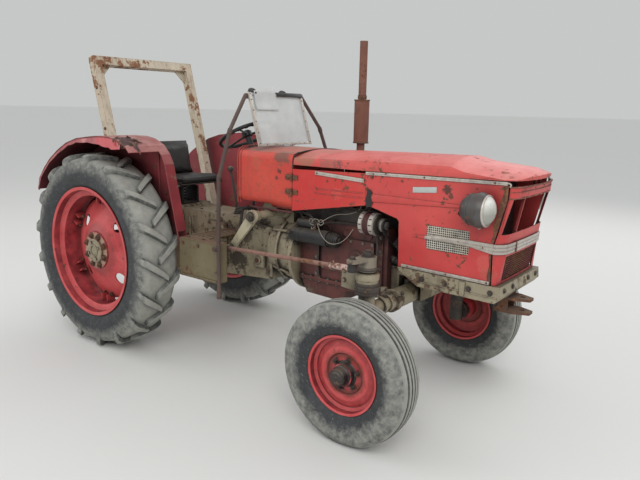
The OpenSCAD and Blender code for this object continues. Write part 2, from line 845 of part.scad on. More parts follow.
// front tyre with its ribs, axis along z
module front_tyre_body() {
    f = front_flange_r - 7.5;
    w = front_tyre_w / 2;
    t = front_tip_r;
    rotate_extrude()
        polygon([[f, 60], [f + 18, 74], [f + 60, w - 4], [f + 100, w], [t - 42, w - 8], [t - 14, w - 24],
                 [t - 8, w - 30], [t - 6, 48], [t - 15, 46], [t - 15, 38], [t - 2, 36], [t - 1, 20],
                 [t - 12, 18], [t - 12, 10], [t, 8], [t, -8], [t - 12, -10], [t - 12, -18], [t - 1, -20],
                 [t - 2, -36], [t - 15, -38], [t - 15, -46], [t - 6, -48], [t - 8, -w + 30],
                 [t - 14, -w + 24], [t - 42, -w + 8], [f + 100, -w], [f + 60, -w + 4], [f + 18, -74],
                 [f, -60]]);
}

disc_edge_r = 384;
disc_edge_z = -46;
hub_face_z = 58;
hub_face_r = 150;
disc_t = 9;
disc_lugs = 6;
disc_holes = 4;

// rear rim with its dished disc and hub, axis along z with the outside up
module rear_wheel_metal() {
    f = rear_flange_r;
    well_r = f - 68;
    rotate_extrude()
        polygon([[f, 132], [f, 141], [f - 24, 137], [f - 30, 96], [well_r, 76], [well_r, -66],
                 [f - 30, -98], [f - 24, -137], [f, -141], [f, -132], [f - 15, -127], [f - 21, -92],
                 [f - 59, -60], [f - 59, 70], [f - 21, 88], [f - 15, 127]]);
    difference() {
        rotate_extrude()
            polygon([[hub_face_r - 20, hub_face_z], [hub_face_r, hub_face_z], [disc_edge_r, disc_edge_z],
                     [disc_edge_r, disc_edge_z - disc_t], [hub_face_r, hub_face_z - disc_t],
                     [hub_face_r - 20, hub_face_z - disc_t]]);
        for (k = [0:disc_holes - 1])
            rotate([0, 0, (k + 0.5) * 360 / disc_holes])
                translate([278, 0, -120]) cylinder(r = 44, h = 240);
    }
    for (k = [0:disc_lugs - 1])
        rotate([0, 0, (k + 0.5) * 360 / disc_lugs])
            for (side = [-38, 28])
                box([disc_edge_r - 34, side, disc_edge_z - 4], [well_r + 4, side + 10, disc_edge_z + 64]);
    difference() {
        translate([0, 0, -104]) cylinder(r = 66, h = 104 + hub_face_z);
        translate([0, 0, -105]) cylinder(r = hub_spigot_r + fit, h = 56);
    }
    translate([0, 0, hub_face_z - 24]) cylinder(r = hub_face_r - 10, h = 33);
    translate([0, 0, hub_face_z + 9]) cylinder(r = 88, h = 14);
}

lug_tip_x = 66;
lug_past = 38;

// rear tyre carcass and lugs about a middle axle along y
module rear_tyre_body() {
    f = rear_flange_r - 15.3;
    w = rear_tyre_w / 2;
    t = rear_tread_r;
    rotate([-90, 0, 0])
        rotate_extrude()
            polygon([[f, 123], [f + 16, 128.5], [f + 20, 138], [f + 75, w - 3], [f + 130, w], [t - 48, w - 8],
                     [t - 14, w - 30], [t, 70], [t + 4, 0], [t, -70], [t - 14, -w + 30], [t - 48, -w + 8],
                     [f + 130, -w], [f + 75, -w + 3], [f + 20, -138], [f + 16, -128.5], [f, -123]]);
    step = 360 / rear_lugs;
    intersection() {
        for (h = [-1, 1])
            for (k = [0:rear_lugs - 1])
                rotate([0, (k + (h > 0 ? 0.5 : 0)) * step, 0])
                    translate([0, 0, t - 45])
                        linear_extrude(rear_tip_r - t + 65)
                            polygon([[lug_tip_x + lug_w, -lug_past * h], [lug_w, 50 * h],
                                     [-lug_tip_x + lug_w, (w - 4) * h], [-lug_tip_x, (w - 4) * h],
                                     [0, 50 * h], [lug_tip_x, -lug_past * h]]);
        rotate([-90, 0, 0])
            rotate_extrude()
                polygon([[f, -w], [rear_tip_r - 26, -w], [rear_tip_r - 5, -w + 10], [rear_tip_r, -w + 34],
                         [rear_tip_r, w - 34], [rear_tip_r - 5, w - 10], [rear_tip_r - 26, w], [f, w]]);
    }
}

// puts a wheel built along z at a hub, outside away from the middle
module wheel_at(x, y, z, side) {
    translate([x, y, z]) rotate([side > 0 ? -90 : 90, 0, 0]) children();
}

module front_rim(side) {
    color(red) place_front()
        wheel_at(kingpin_x, side * front_track / 2, front_z, side) front_wheel_metal();
}

module front_tyre(side) {
    color(rubber) place_front()
        wheel_at(kingpin_x, side * front_track / 2, front_z, side) front_tyre_body();
}

module rear_rim(side) {
    color(red) place()
        wheel_at(0, side * rear_track / 2, rear_z, side) rear_wheel_metal();
}

module rear_tyre(side) {
    color(rubber) place()
        translate([0, side * rear_track / 2, rear_z]) rear_tyre_body();
}

// couplings front and rear

// two rusty plates with a pin hole at the front
module front_clevis() {
    color(rust) place_front()
        for (z = [690, 766])
            difference() {
                translate([0, 0, z])
                    linear_extrude(16)
                        polygon([[2790, -60], [2900, -60], [2985, -26], [2985, 26], [2900, 60], [2790, 60]]);
                translate([2932, 0, z - 1]) cylinder(r = 16, h = 18);
            }
    color(rust) place_front()
        for (y = [-60, 48])
            box([2790, y, 706], [2870, y + 12, 766]);
    color(rust) place_front()
        box([2790, -60, 782], [2870, 60, bolster_z - 8]);
}

// drawbar below the rear axle
module rear_drawbar() {
    color(iron) place()
        difference() {
            union() {
                box([-420, -35, 400], [100, 35, 430]);
                for (y = [-50, 35]) box([-60, y, 400], [60, y + 15, 470]);
            }
            translate([-380, 0, 390]) cylinder(r = 15, h = 50);
        }
}

link_drop = 22;
link_pin = [link_pivot_x - lift_len, link_pivot_z - link_drop];
lift_pin = [lift_pivot[0] - lift_len, lift_pivot[1] - link_drop];
arm_in = 205;
rod_top_y = 246;
rod_low_y = 290;
link_pin_out = 12;

// cross shaft and its two arms above the axle
module lift_arms() {
    color(iron) place() {
        bar_y(lift_pivot[0], lift_pivot[1], -arm_in - 22, arm_in + 22, lift_shaft_r);
        for (s = [-1, 1]) {
            side_plate(s * (arm_in + 11) - 11, s * (arm_in + 11) + 11)
                polygon([[lift_pivot[0] + 40, lift_pivot[1] - 24], [lift_pivot[0] + 34, lift_pivot[1] + 30],
                         [lift_pivot[0] - 30, lift_pivot[1] + 40], [lift_pin[0] - 18, lift_pin[1] + 20],
                         [lift_pin[0] - 18, lift_pin[1] - 20], [lift_pivot[0] - 10, lift_pivot[1] - 46]]);
            bar_y(lift_pin[0], lift_pin[1], s * 244 - 22, s * 244 + 22, link_pin_out);
        }
    }
}

// rods between the lift arms and the lower links
module lift_rods() {
    color(iron) place()
        for (s = [-1, 1])
            difference() {
                union() {
                    bar_y(lift_pin[0], lift_pin[1], s * rod_top_y - 9, s * rod_top_y + 9, 26);
                    bar_y(link_pin[0], link_pin[1], s * rod_low_y - 9, s * rod_low_y + 9, 26);
                    rod([lift_pin[0], s * rod_top_y, lift_pin[1]], [link_pin[0], s * rod_low_y, link_pin[1]],
                        13, small_fn);
                }
                bar_y(lift_pin[0], lift_pin[1], s * rod_top_y - 30, s * rod_top_y + 30, link_pin_out + fit);
                bar_y(link_pin[0], link_pin[1], s * rod_low_y - 30, s * rod_low_y + 30, link_pin_out + fit);
            }
}

// pair of lower links with ball eyes
module lower_links() {
    slope = link_drop / lift_len;
    rear_z_eye = link_pivot_z - slope * link_len;
    color(iron) place()
        for (s = [-1, 1]) {
            difference() {
                union() {
                    bar_y(link_pivot_x, link_pivot_z, s * link_y - 9, s * link_y + 9, 34);
                    side_plate(s * link_y - 8, s * link_y + 8)
                        polygon([[link_pivot_x, link_pivot_z - 28], [link_pivot_x, link_pivot_z + 28],
                                 [link_rear_x, rear_z_eye + 22], [link_rear_x, rear_z_eye - 22]]);
                    bar_y(link_rear_x, rear_z_eye, s * link_y - 22, s * link_y + 22, 30);
                }
                bar_y(link_pivot_x, link_pivot_z, s * link_y - 30, s * link_y + 30, link_pin_r + fit);
                bar_y(link_rear_x, rear_z_eye, s * link_y - 30, s * link_y + 30, link_eye_r);
            }
            bar_y(link_pin[0], link_pin[1], s * 297.5 - 19.5, s * 297.5 + 19.5, link_pin_out);
        }
}

// lamps and rear frame

lamp_place = [2790, -386, 1300];
// outline of a headlamp from its back to its glass: place along x, radius
LAMP = [
    [-88, 0], [-85, 26], [-74, 50], [-55, 68], [-30, 80], [0, 86], [14, 88], [26, 88], [26, 84],
    [62, 64], [84, 40], [94, 18], [97, 0]
];

// bowl headlamp with its bulging front on a short bracket
module headlamp() {
    color(iron) place_front() {
        translate(lamp_place)
            rotate([0, 90, 0])
                rotate_extrude()
                    polygon([for (p = LAMP) [p[1], p[0]]]);
        rod([lamp_place[0] - 15, -hood_half_w, lamp_place[2]],
            [lamp_place[0] - 15, lamp_place[1] + 70, lamp_place[2]], 9, small_fn);
    }
}

frame_foot = [-70, 1000];
frame_lean = 15.3;
frame_len = 1180;
frame_y = wing_wall_y - 78;
post_w = 66;
axle_tube_r = 95;

// leaning two-post frame behind the seat
module roll_frame() {
    color(cream) place() {
        for (s = [-1, 1]) {
            translate([frame_foot[0], s * frame_y, frame_foot[1]])
                rotate([0, -frame_lean, 0])
                    box([-post_w / 2, -post_w / 2, -190], [post_w / 2, post_w / 2, frame_len]);
            difference() {
                box([-90, s * frame_y - 50, 770], [70, s * frame_y + 50, 836]);
                bar_y(0, rear_z, s * frame_y - 60, s * frame_y + 60, axle_tube_r + seat);
            }
        }
        translate([frame_foot[0], 0, frame_foot[1]])
            rotate([0, -frame_lean, 0])
                box([-post_w / 2, -frame_y + post_w / 2, frame_len - post_w],
                    [post_w / 2, frame_y - post_w / 2, frame_len]);
    }
}

engine_block();
cylinder_head();
starter_motor();
alternator();
cooling_fan();
injection_pump();
exhaust_stack();
gearbox_housing();
rear_axle_housing();
front_bolster();
front_axle_beam();
radiator();
bonnet_top();
both_sides() side_panel();  // side_panels
both_sides() rear_door();  // rear_doors
nose_mask();
nose_mesh();
tank_cowl();
dashboard();
windscreen();
both_sides() entry_hoop();  // entry_hoops
both_sides() wing();  // wings
both_sides() foot_step();  // foot_steps
driver_seat();
control_levers();
steering_wheel();
drop_arm();  // drop_arm_right
on_left() drop_arm();  // drop_arm_left
drag_link();  // drag_link_right
on_left() drag_link();  // drag_link_left
knuckle();  // knuckle_right
on_left() knuckle();  // knuckle_left
front_rim(-1);  // front_rim_right
front_rim(1);  // front_rim_left
front_tyre(-1);  // front_tyre_right
front_tyre(1);  // front_tyre_left
rear_rim(-1);  // rear_rim_right
rear_rim(1);  // rear_rim_left
rear_tyre(-1);  // rear_tyre_right
rear_tyre(1);  // rear_tyre_left
front_clevis();
rear_drawbar();
lift_arms();
lift_rods();
lower_links();
both_sides() headlamp();  // headlamps
roll_frame();
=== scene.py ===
import bpy
import bmesh
import json
from math import radians, sin, cos, pi, atan2, hypot
from mathutils import Vector, Matrix
from mathutils.bvhtree import BVHTree


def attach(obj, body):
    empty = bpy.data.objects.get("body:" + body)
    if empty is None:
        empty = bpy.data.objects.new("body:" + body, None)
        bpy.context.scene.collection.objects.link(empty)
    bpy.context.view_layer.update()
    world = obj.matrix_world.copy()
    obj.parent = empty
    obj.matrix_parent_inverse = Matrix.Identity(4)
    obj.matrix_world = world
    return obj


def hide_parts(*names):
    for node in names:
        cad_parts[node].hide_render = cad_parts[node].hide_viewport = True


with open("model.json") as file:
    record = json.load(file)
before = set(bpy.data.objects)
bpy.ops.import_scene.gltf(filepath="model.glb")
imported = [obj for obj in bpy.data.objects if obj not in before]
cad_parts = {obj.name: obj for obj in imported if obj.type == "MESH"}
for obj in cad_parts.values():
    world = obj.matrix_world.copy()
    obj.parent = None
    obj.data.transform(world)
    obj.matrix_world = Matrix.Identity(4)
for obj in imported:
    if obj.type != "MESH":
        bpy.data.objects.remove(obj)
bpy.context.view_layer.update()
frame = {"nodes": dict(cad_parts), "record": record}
scene = bpy.context.scene
sides = ((-1, "right"), (1, "left"))

stance = {
    "rearAxleX": -1.0475,  # the rear axle in the frame, metres
    "wheelbase": 2.280,
    "rearHubZ": 0.718,
    "frontHubZ": 0.400,
    "rearTrack": 1.400,
    "frontTrack": 1.475,
}


def at(x, y, z):  # millimetres from the rear axle to the frame's metres
    return Vector((x / 1000 + stance["rearAxleX"], y / 1000, z / 1000))


# finishes

def hexColor(code):  # sRGB hex to linear, so the finish renders as it is written
    channels = [int(code[k:k + 2], 16) / 255 for k in (0, 2, 4)]
    linear = [c / 12.92 if c <= 0.04045 else ((c + 0.055) / 1.055) ** 2.4 for c in channels]
    return (*linear, 1.0)


def addNode(tree, kind, inputs=None, **settings):  # each input is set, or linked where it is given an output
    node = tree.nodes.new("ShaderNode" + kind)
    for key, value in settings.items():
        setattr(node, key, value)
    for key, value in (inputs or {}).items():
        if isinstance(value, bpy.types.NodeSocket):
            tree.links.new(value, node.inputs[key])
        else:
            node.inputs[key].default_value = hexColor(value) if isinstance(value, str) else value
    return node


class Finish:  # a material in the making: its masks run from 0 to 1, its patterns are sized in real millimetres

    def __init__(self, name, color, roughness, metallic=0.0):
        self.material = bpy.data.materials.new(name)
        self.material.use_nodes = True
        self.tree = self.material.node_tree
        self.tree.nodes.clear()
        source = self.node("TexCoord")
        self.coords, self.normal = source.outputs["Object"], source.outputs["Normal"]
        self.color, self.surface = color, {"Roughness": roughness, "Metallic": metallic}

    def node(self, kind, inputs=None, **settings):
        return addNode(self.tree, kind, inputs, **settings)

    def band(self, value, low, high, toLow=0.0, toHigh=1.0):
        inputs = {"Value": value, "From Min": low, "From Max": high, "To Min": toLow, "To Max": toHigh}
        return self.node("MapRange", inputs, clamp=True).outputs["Result"]

    def math(self, operation, *values, clamp=True):
        return self.node("Math", dict(enumerate(values)), operation=operation, use_clamp=clamp).outputs[0]

    def times(self, mask, *factors):
        for factor in factors:
            mask = self.math("MULTIPLY", mask, factor)
        return mask

    def mix(self, mask, first, second):  # first where the mask is 0, second where it is 1
        return self.node("Mix", {"Factor": mask, 6: first, 7: second}, data_type="RGBA").outputs[2]

    def lay(self, mask, tone, *shares):  # a tone over the colour so far
        self.color = self.mix(self.times(mask, *shares), self.color, tone)

    def vector(self, operation, *values):
        return self.node("VectorMath", dict(enumerate(values)), operation=operation)

    # soft blotches
    def patches(self, sizeMm, low, high, detail=4.0, roughness=0.6, seedShift=0.0, coords=None):
        moved = self.vector("ADD", self.coords if coords is None else coords, (seedShift, seedShift * 0.7, 0.0))
        inputs = {"Vector": moved.outputs[0], "Scale": 1000 / sizeMm, "Detail": detail, "Roughness": roughness}
        return self.band(self.node("TexNoise", inputs).outputs["Fac"], low, high)

    def edgeMask(self, widthMm):  # 1 along sharp edges, where paint wears first
        bevel = self.node("Bevel", {"Radius": widthMm / 1000}, samples=4)
        flat = self.node("NewGeometry").outputs["Normal"]
        return self.band(self.vector("DOT_PRODUCT", bevel.outputs[0], flat).outputs["Value"], 0.995, 0.9)

    def occlusionShadeMask(self, depthMm):  # 1 in corners and under ledges: painted shade where little light reaches
        occlusion = self.node("AmbientOcclusion", {"Distance": depthMm / 1000}, samples=4)
        return self.band(occlusion.outputs["AO"], 0.35, 0.9, 1.0, 0.0)

    def streakMask(self, widthMm, low, high):  # runs of rust or oil down a standing face
        squeezed = self.node("Mapping", {"Scale": (1.0, 1.0, 0.07), "Vector": self.coords})
        return self.patches(widthMm, low, high, 5.0, coords=squeezed.outputs[0])

    def markMask(self, place, sizeMm):  # ragged blotch at one place on the tractor
        away = self.vector("DISTANCE", self.coords, tuple(at(*place))).outputs["Value"]
        ragged = self.patches(sizeMm * 0.4, 0.32, 0.68, 9, 0.75, place[0] / 100)
        reach = self.math("MULTIPLY_ADD", ragged, sizeMm / 1100, away, clamp=False)
        return self.band(reach, sizeMm / 850, sizeMm / 1050)

    def ragged(self, value, sizeMm, spread):  # a value in metres with its edge made uneven
        shift = self.math("MULTIPLY_ADD", self.patches(sizeMm, 0.0, 1.0, 6), spread, -spread / 2, clamp=False)
        return self.math("ADD", value, shift, clamp=False)

    def fromHub(self, hubX, hubZ):  # distance from a wheel's axle, and how far a face looks away from it
        centred = self.node("Mapping", {"Location": (-hubX, 0.0, -hubZ), "Vector": self.coords})
        flat = self.vector("MULTIPLY", centred.outputs[0], (1.0, 0.0, 1.0)).outputs[0]
        outward = self.vector("NORMALIZE", flat).outputs[0]
        facing = self.vector("DOT_PRODUCT", self.normal, outward)
        return self.vector("LENGTH", flat).outputs["Value"], facing.outputs["Value"]

    # the shader, with a bump where one is given
    def done(self, strength=None, depth=0.001, height=0.5, **surface):
        inputs = {"Base Color": self.color, **self.surface, **surface}
        if strength is not None:
            bump = self.node("Bump", {"Strength": strength, "Distance": depth, "Height": height})
            inputs["Normal"] = bump.outputs[0]
        shader = self.node("BsdfPrincipled", inputs)
        self.node("OutputMaterial", {"Surface": shader.outputs[0]})
        return self.material


plainLook = dict(metallic=0.0, bump=0.5, grainMm=14, grain=0.25, mottleMm=45, mottleShare=0.6, marks=(),
    rustLight="8a5a3c", rustMm=60, rustLimit=0.60, edges=0, edgeMm=5, streaks=0, streakMm=26, streak="6a4630",
    dust=0, dustColor="9c8f7c", grime=0, grimeMm=45, grimeColor="2a2320")
looks = {}


def addLook(name, like=None, **values):  # a finish, by the values in which it differs from another
    looks[name] = {**(looks[like] if like else plainLook), **values}


# chalked signal-red enamel on pressed steel: orange-red where rubbed, bleached in patches, and pink on its top
# faces as a painted highlight of the sky
addLook("red_paint", base="bb3737", faded="c94a46", mottle="ad4a3f", mottleShare=0.6, mottleMm=30,
    rust="4a3028", rustLight="7a4f3c", rustLimit=0.625, rustMm=40, edges=1.0, edgeMm=6, roughness=0.45,
    dust=0.5, dustColor="de7c75", grime=0.85, grimeMm=200, grimeColor="2a0f0f", streaks=0.25, streakMm=50,
    streak="8d4a3c", bump=0.35, marks=[((2579, -295, 1375), 42, "4d3128", 0.95),
    ((2600, -295, 1340), 22, "5a382c", 0.9), ((2300, -295, 1395), 14, "4a3028", 0.9),
    ((2150, -295, 1210), 16, "5b3a2e", 0.8), ((2815, -295, 1010), 70, "cf6c5e", 0.3),
    ((2840, -290, 950), 60, "a85a48", 0.5)])
# the nose's enamel where it has flaked down to brown primer
addLook("worn_red", base="9d453b", faded="ad6054", mottle="6e4538", rust="5a3d30", rustLight="7f5a48",
    rustLimit=0.5, rustMm=40, edges=1.0, roughness=0.62, grime=0.5, bump=0.6)
# the same enamel on the wings, bleached and breaking into rust, pale pink on top as a painted highlight of the
# sky
addLook("wing_paint", base="7a2229", faded="93343a", mottle="6a2a2c", rust="5a3a30", rustLight="946050",
    rustLimit=0.56, rustMm=70, edges=1.0, edgeMm=8, roughness=0.62, dust=0.95, dustColor="b58f86", grime=0.85,
    grimeMm=160, grimeColor="260d12", bump=0.6)
# oily maroon engine enamel
addLook("engine_paint", base="4b2824", faded="6b352e", mottle="2c2020", mottleShare=0.9, rust="2b2220",
    rustLight="7c6a58", rustLimit=0.56, rustMm=70, edges=0.7, roughness=0.55, dust=0.5, dustColor="7d6c5c",
    grime=0.9, grimeMm=90, grimeColor="171213", bump=0.8, streaks=0.5, streak="241c1a")
# greasy grey cast iron
addLook("engine_iron", base="332e2c", faded="4a433e", mottle="221e1d", rust="4a382e", rustLight="6e5a4a",
    rustLimit=0.56, roughness=0.6, dust=0.5, grime=0.8, bump=0.9, grain=0.6)
# black enamel gone dull with oil
addLook("black_paint", base="1d1d1e", faded="2e2d2d", mottle="151414", rust="3b2f2a", rustLight="5a4638",
    rustLimit=0.66, roughness=0.45, dust=0.4, grime=0.5, edges=0.6, bump=0.4)
# weathered die-cast aluminium
addLook("cast_alloy", base="8f8a82", faded="a8a39b", mottle="5c5650", rust="4b4440", rustLight="6c6259",
    rustLimit=0.64, roughness=0.5, metallic=0.5, grime=0.9, bump=0.6)
# brown rust on plain steel tube
addLook("rusty_steel", base="553d32", faded="6b4c3c", mottle="3a2b26", rust="3e2a20", rustLight="8c5f42",
    rustLimit=0.50, rustMm=40, roughness=0.82, dust=0.3, grime=0.5, bump=1.0, grain=0.7)
# cream implement enamel on castings, chipped to rust and soaked in oil
addLook("cream_paint", base="8a8069", faded="9c927b", mottle="574c3d", mottleShare=0.9, mottleMm=75,
    rust="3c2f26", rustLight="76604a", rustLimit=0.555, rustMm=50, edges=1.0, edgeMm=7, roughness=0.55,
    dust=0.6, dustColor="6f614e", grime=0.95, grimeMm=80, grimeColor="1e1a17", streaks=0.45, streak="4a3d30",
    streakMm=75, bump=0.8)
# painted woven wire
addLook("dark_mesh", base="57211f", faded="6e332c", rust="3d2a24", rustLimit=0.5, roughness=0.7, bump=0.4)
# thin cream enamel on the folded steps, streaked with rust
addLook("step_paint", base="645a42", faded="776b50", mottle="5d5139", mottleShare=0.9, rust="46331f",
    rustLight="7b5638", rustLimit=0.565, rustMm=60, edges=1.0, edgeMm=9, roughness=0.6, dust=1.0,
    dustColor="6b4c3a", grime=0.7, grimeMm=70, streaks=0.6, streak="4b3a28", streakMm=65, bump=0.7)
# cracked black seat vinyl
addLook("seat_vinyl", base="1c1b1b", faded="2b2928", mottle="3a3632", roughness=0.5, grime=0.4, bump=0.5,
    grainMm=3)
# hard rubber rim of the steering wheel
addLook("black_plastic", base="151515", faded="232222", roughness=0.42, grime=0.4, bump=0.3)
# forged iron under grease and road dirt
addLook("greasy_iron", base="332d2a", faded="4c433c", mottle="221d1b", rust="4e3a2d", rustLight="7a6450",
    rustLimit=0.54, roughness=0.62, dust=0.5, grime=0.8, bump=0.9, grain=0.7)
# dull grey-black lamp enamel with rust runs
addLook("lamp_paint", base="343434", faded="565351", mottle="262424", rust="463028", rustLight="7a5442",
    rustLimit=0.60, rustMm=35, roughness=0.42, streaks=0.5, streak="5c3a2c", bump=0.5)
# red insulating varnish on copper windings, browned by heat
addLook("worn_maroon", base="4a2224", faded="5f3130", mottle="2c1817", roughness=0.55, grime=0.7)
# rubbed red primer over rust on the track rods
addLook("pink_primer", base="9a766c", faded="c6aca2", mottle="5c4238", rust="5a3c2e", rustLight="7d5744",
    rustLimit=0.5, rustMm=30, edges=0.8, roughness=0.7, grime=0.5, bump=0.7)
# anodised aluminium moulding, scratched and gone chalky
addLook("trim_alloy", base="b3aaa1", faded="c9c2b8", mottle="85796f", mottleShare=0.7, rust="5f5048",
    rustLight="7d6c60", rustLimit=0.64, roughness=0.42, metallic=0.35, streaks=0.5, streak="6d5f55", grime=0.5,
    edges=0.4, bump=0.4)
# galvanised wire, dusty
addLook("pale_wire", base="c3bbac", faded="ddd6c8", mottle="3a332d", mottleShare=0.9, mottleMm=26,
    roughness=0.6, metallic=0.2)
# blank printed tin gone pale
addLook("blank_plate", base="a0a5a1", faded="b4b8b3", mottle="8d9292", mottleMm=18, roughness=0.45, bump=0.3)
# oil-softened rubber hose
addLook("hose_rubber", base="191919", faded="2a2928", mottle="38332f", roughness=0.6, dust=0.4, grime=0.4,
    bump=0.5)
# white PVC wire skin, yellowed
addLook("wire_skin", base="a39c8d", faded="bfb8a8", mottle="7d766a", mottleMm=15, roughness=0.5)
# steel nuts and clips dulled by weather
addLook("dull_steel", base="6b6660", faded="87827b", mottle="4a433d", rust="5b4030", rustLight="7d5a44",
    rustLimit=0.56, rustMm=16, roughness=0.5, metallic=0.6, grime=0.5, bump=0.6)
# rusting cream paint on the leaning frame
addLook("frame_paint", base="b3a690", faded="c9bda8", mottle="80705e", rust="6a4632", rustLight="946b50",
    rustLimit=0.52, rustMm=90, edges=1.0, edgeMm=7, roughness=0.65, streaks=0.7, streak="7a4f38", bump=0.7)

# the doors are the reddest, the tank shell is darker and browner, the lid is scuffed at its rear end
addLook("door_red", "red_paint", base="c02a27", faded="c83f38", dust=0.3,
    marks=[((1775, -297, 1350), 16, "6a2a22", 0.9), ((1850, -297, 1285), 60, "d0564c", 0.5)])
addLook("tank_red", "red_paint", base="c33a30", faded="cb4c3c", mottle="8c4a38", mottleShare=0.8,
    dustColor="a87866", dust=0.9, streaks=0.4, streak="80483a", marks=[((1385, -289, 1380), 26, "4a2c24", 0.9),
    ((1400, -285, 1482), 110, "6d4a3e", 0.85), ((1180, -285, 1430), 70, "a2604a", 0.3),
    ((1300, 0, 1522), 160, "8d6455", 0.6), ((1360, -289, 1335), 20, "5a3028", 0.8),
    ((1012, -289, 1200), 40, "9c5c48", 0.6)])
addLook("hood_red", "red_paint", base="c0413d", faded="cc5650", mottle="96503f", dust=0.75,
    marks=[((1849, -315, 1457), 62, "57433c", 0.85), ((1770, -310, 1462), 90, "8a5648", 0.6),
    ((1560, -250, 1500), 170, "94644c", 0.75), ((1640, -100, 1520), 150, "a4745c", 0.55),
    ((2100, -315, 1450), 45, "8f4a3c", 0.6), ((2890, -240, 1450), 80, "a85c50", 0.5)])
# the nose enamel with deep painted shade in its hollows
addLook("nose_red", "red_paint", grime=0.97, grimeMm=420, grimeColor="1c0b0c")
addLook("lip_paint", "wing_paint", base="a5565a", faded="bd8480", mottle="8a4a48", grimeMm=30,
    marks=[((345, -850, 1525), 190, "c9545a", 0.7), ((60, -850, 1545), 60, "d09a94", 0.5)])
# dark sheet of painted shade standing in for the hole torn in the wing
addLook("hole_shade", "wing_paint", base="2a1416", faded="38201f", mottle="1c1011", dust=0.15)
addLook("arm_cream", "cream_paint", base="a79e82", faded="b8af96", mottle="7c715c")
addLook("link_steel", "rusty_steel", base="77564c", faded="90695d", mottle="5c4238", rustLimit=0.56)
# dark marks on the gearbox: oil black round the starter mounting, and painted shade in the gaps between the
# housing and the parts beside it
addLook("gearbox_cream", "cream_paint", marks=[((1425, -215, 985), 130, "211c1b", 0.9),
    ((860, -160, 690), 150, "27221e", 0.85), ((1080, -110, 985), 110, "221d1b", 0.85),
    ((1240, -165, 640), 120, "2a2420", 0.8), ((960, -150, 880), 90, "3a3229", 0.7),
    ((1330, -225, 700), 90, "30291f", 0.7)])
addLook("axle_grease", "greasy_iron", base="655d51", faded="8f8675", mottle="37302a")
addLook("hoop_steel", "rusty_steel", base="483a36", faded="5c4a43", rustLimit=0.56)
addLook("stack_rust", "rusty_steel", base="6d4638", faded="80584a", mottle="553a30", rustLimit=0.55)


def agedSurface(name, look):
    coat = Finish(name, look["base"], look["roughness"], look["metallic"])
    coat.lay(coat.patches(380, 0.36, 0.66), look["faded"])
    if "mottle" in look:  # small dull stains in the coat
        coat.lay(coat.patches(look["mottleMm"], 0.52, 0.78, 7, seedShift=3.1), look["mottle"],
            look["mottleShare"])
    height = coat.times(coat.patches(look["grainMm"], 0.2, 0.8, 6), look["grain"])
    if "rust" in look:
        region = coat.times(coat.patches(500, 0.30, 0.72, seedShift=7.7), 0.25)
        spots = coat.times(coat.patches(look["rustMm"], 0.0, 1.0, 9, 0.68, 1.3), 0.75)
        bare = coat.band(coat.math("ADD", spots, region), look["rustLimit"], look["rustLimit"] + 0.03)
        if look["edges"]:
            flaky = coat.patches(22, 0.40, 0.56, 6, seedShift=5.5)
            worn = coat.times(coat.edgeMask(look["edgeMm"]), flaky, look["edges"])
            bare = coat.math("MAXIMUM", bare, worn)
        coat.lay(bare, coat.mix(coat.patches(18, 0.3, 0.7, 5, seedShift=2.2), look["rust"], look["rustLight"]))
        rough = look["roughness"]
        coat.surface["Roughness"] = coat.band(bare, 0.0, 1.0, rough, min(1.0, rough + 0.35))
        height = coat.math("SUBTRACT", height, coat.times(bare, 0.6))
    for place, sizeMm, tone, share in look["marks"]:
        coat.lay(coat.markMask(place, sizeMm), tone, share)
    if look["streaks"]:
        coat.lay(coat.streakMask(look["streakMm"], 0.54, 0.74), look["streak"], look["streaks"])
    # dust on upward faces; on the red and wing enamels its pale pink is a painted highlight of the sky on the
    # top faces
    if look["dust"]:
        up = coat.node("SeparateXYZ", {0: coat.node("NewGeometry").outputs["Normal"]}).outputs["Z"]
        topDustAndLight = coat.times(coat.patches(120, 0.25, 0.70, 5, seedShift=4.4), coat.band(up, 0.35, 0.95))
        coat.lay(topDustAndLight, look["dustColor"], look["dust"])
    # painted shade in corners and under ledges, darkest where the surroundings hide the most light
    if look["grime"]:
        coat.lay(coat.occlusionShadeMask(look["grimeMm"]), look["grimeColor"], look["grime"])
    return coat.done(look["bump"], 0.0012, height)


hubs = {"rear": (stance["rearAxleX"], stance["rearHubZ"]),
    "front": (stance["rearAxleX"] + stance["wheelbase"], stance["frontHubZ"])}
tyreLook = {
    "tread": "8b8b85", "treadPale": "a3a299", "lugShade": "3b3d3d", "side": "5b5d5c", "sideDark": "2f3133",
    "rear": (0.575, 0.655), "front": (0.272, 0.318),  # radii between which dark wall turns to dusty tread
}
# from radius to radius, softness, share, tone: hub cream or black, an oil-brown ring, then the bright coat
rimRings = {"rear": [(-0.1, 0.135, 0.008, 0.85, "a3967c"), (0.135, 0.20, 0.02, 0.45, "6e2f2c")],
    "front": [(-0.1, 0.060, 0.006, 1.0, "26221f"), (0.086, 0.128, 0.012, 0.85, "6f3226"),
        (0.150, 0.165, 0.008, 0.40, "7a2c28")]}


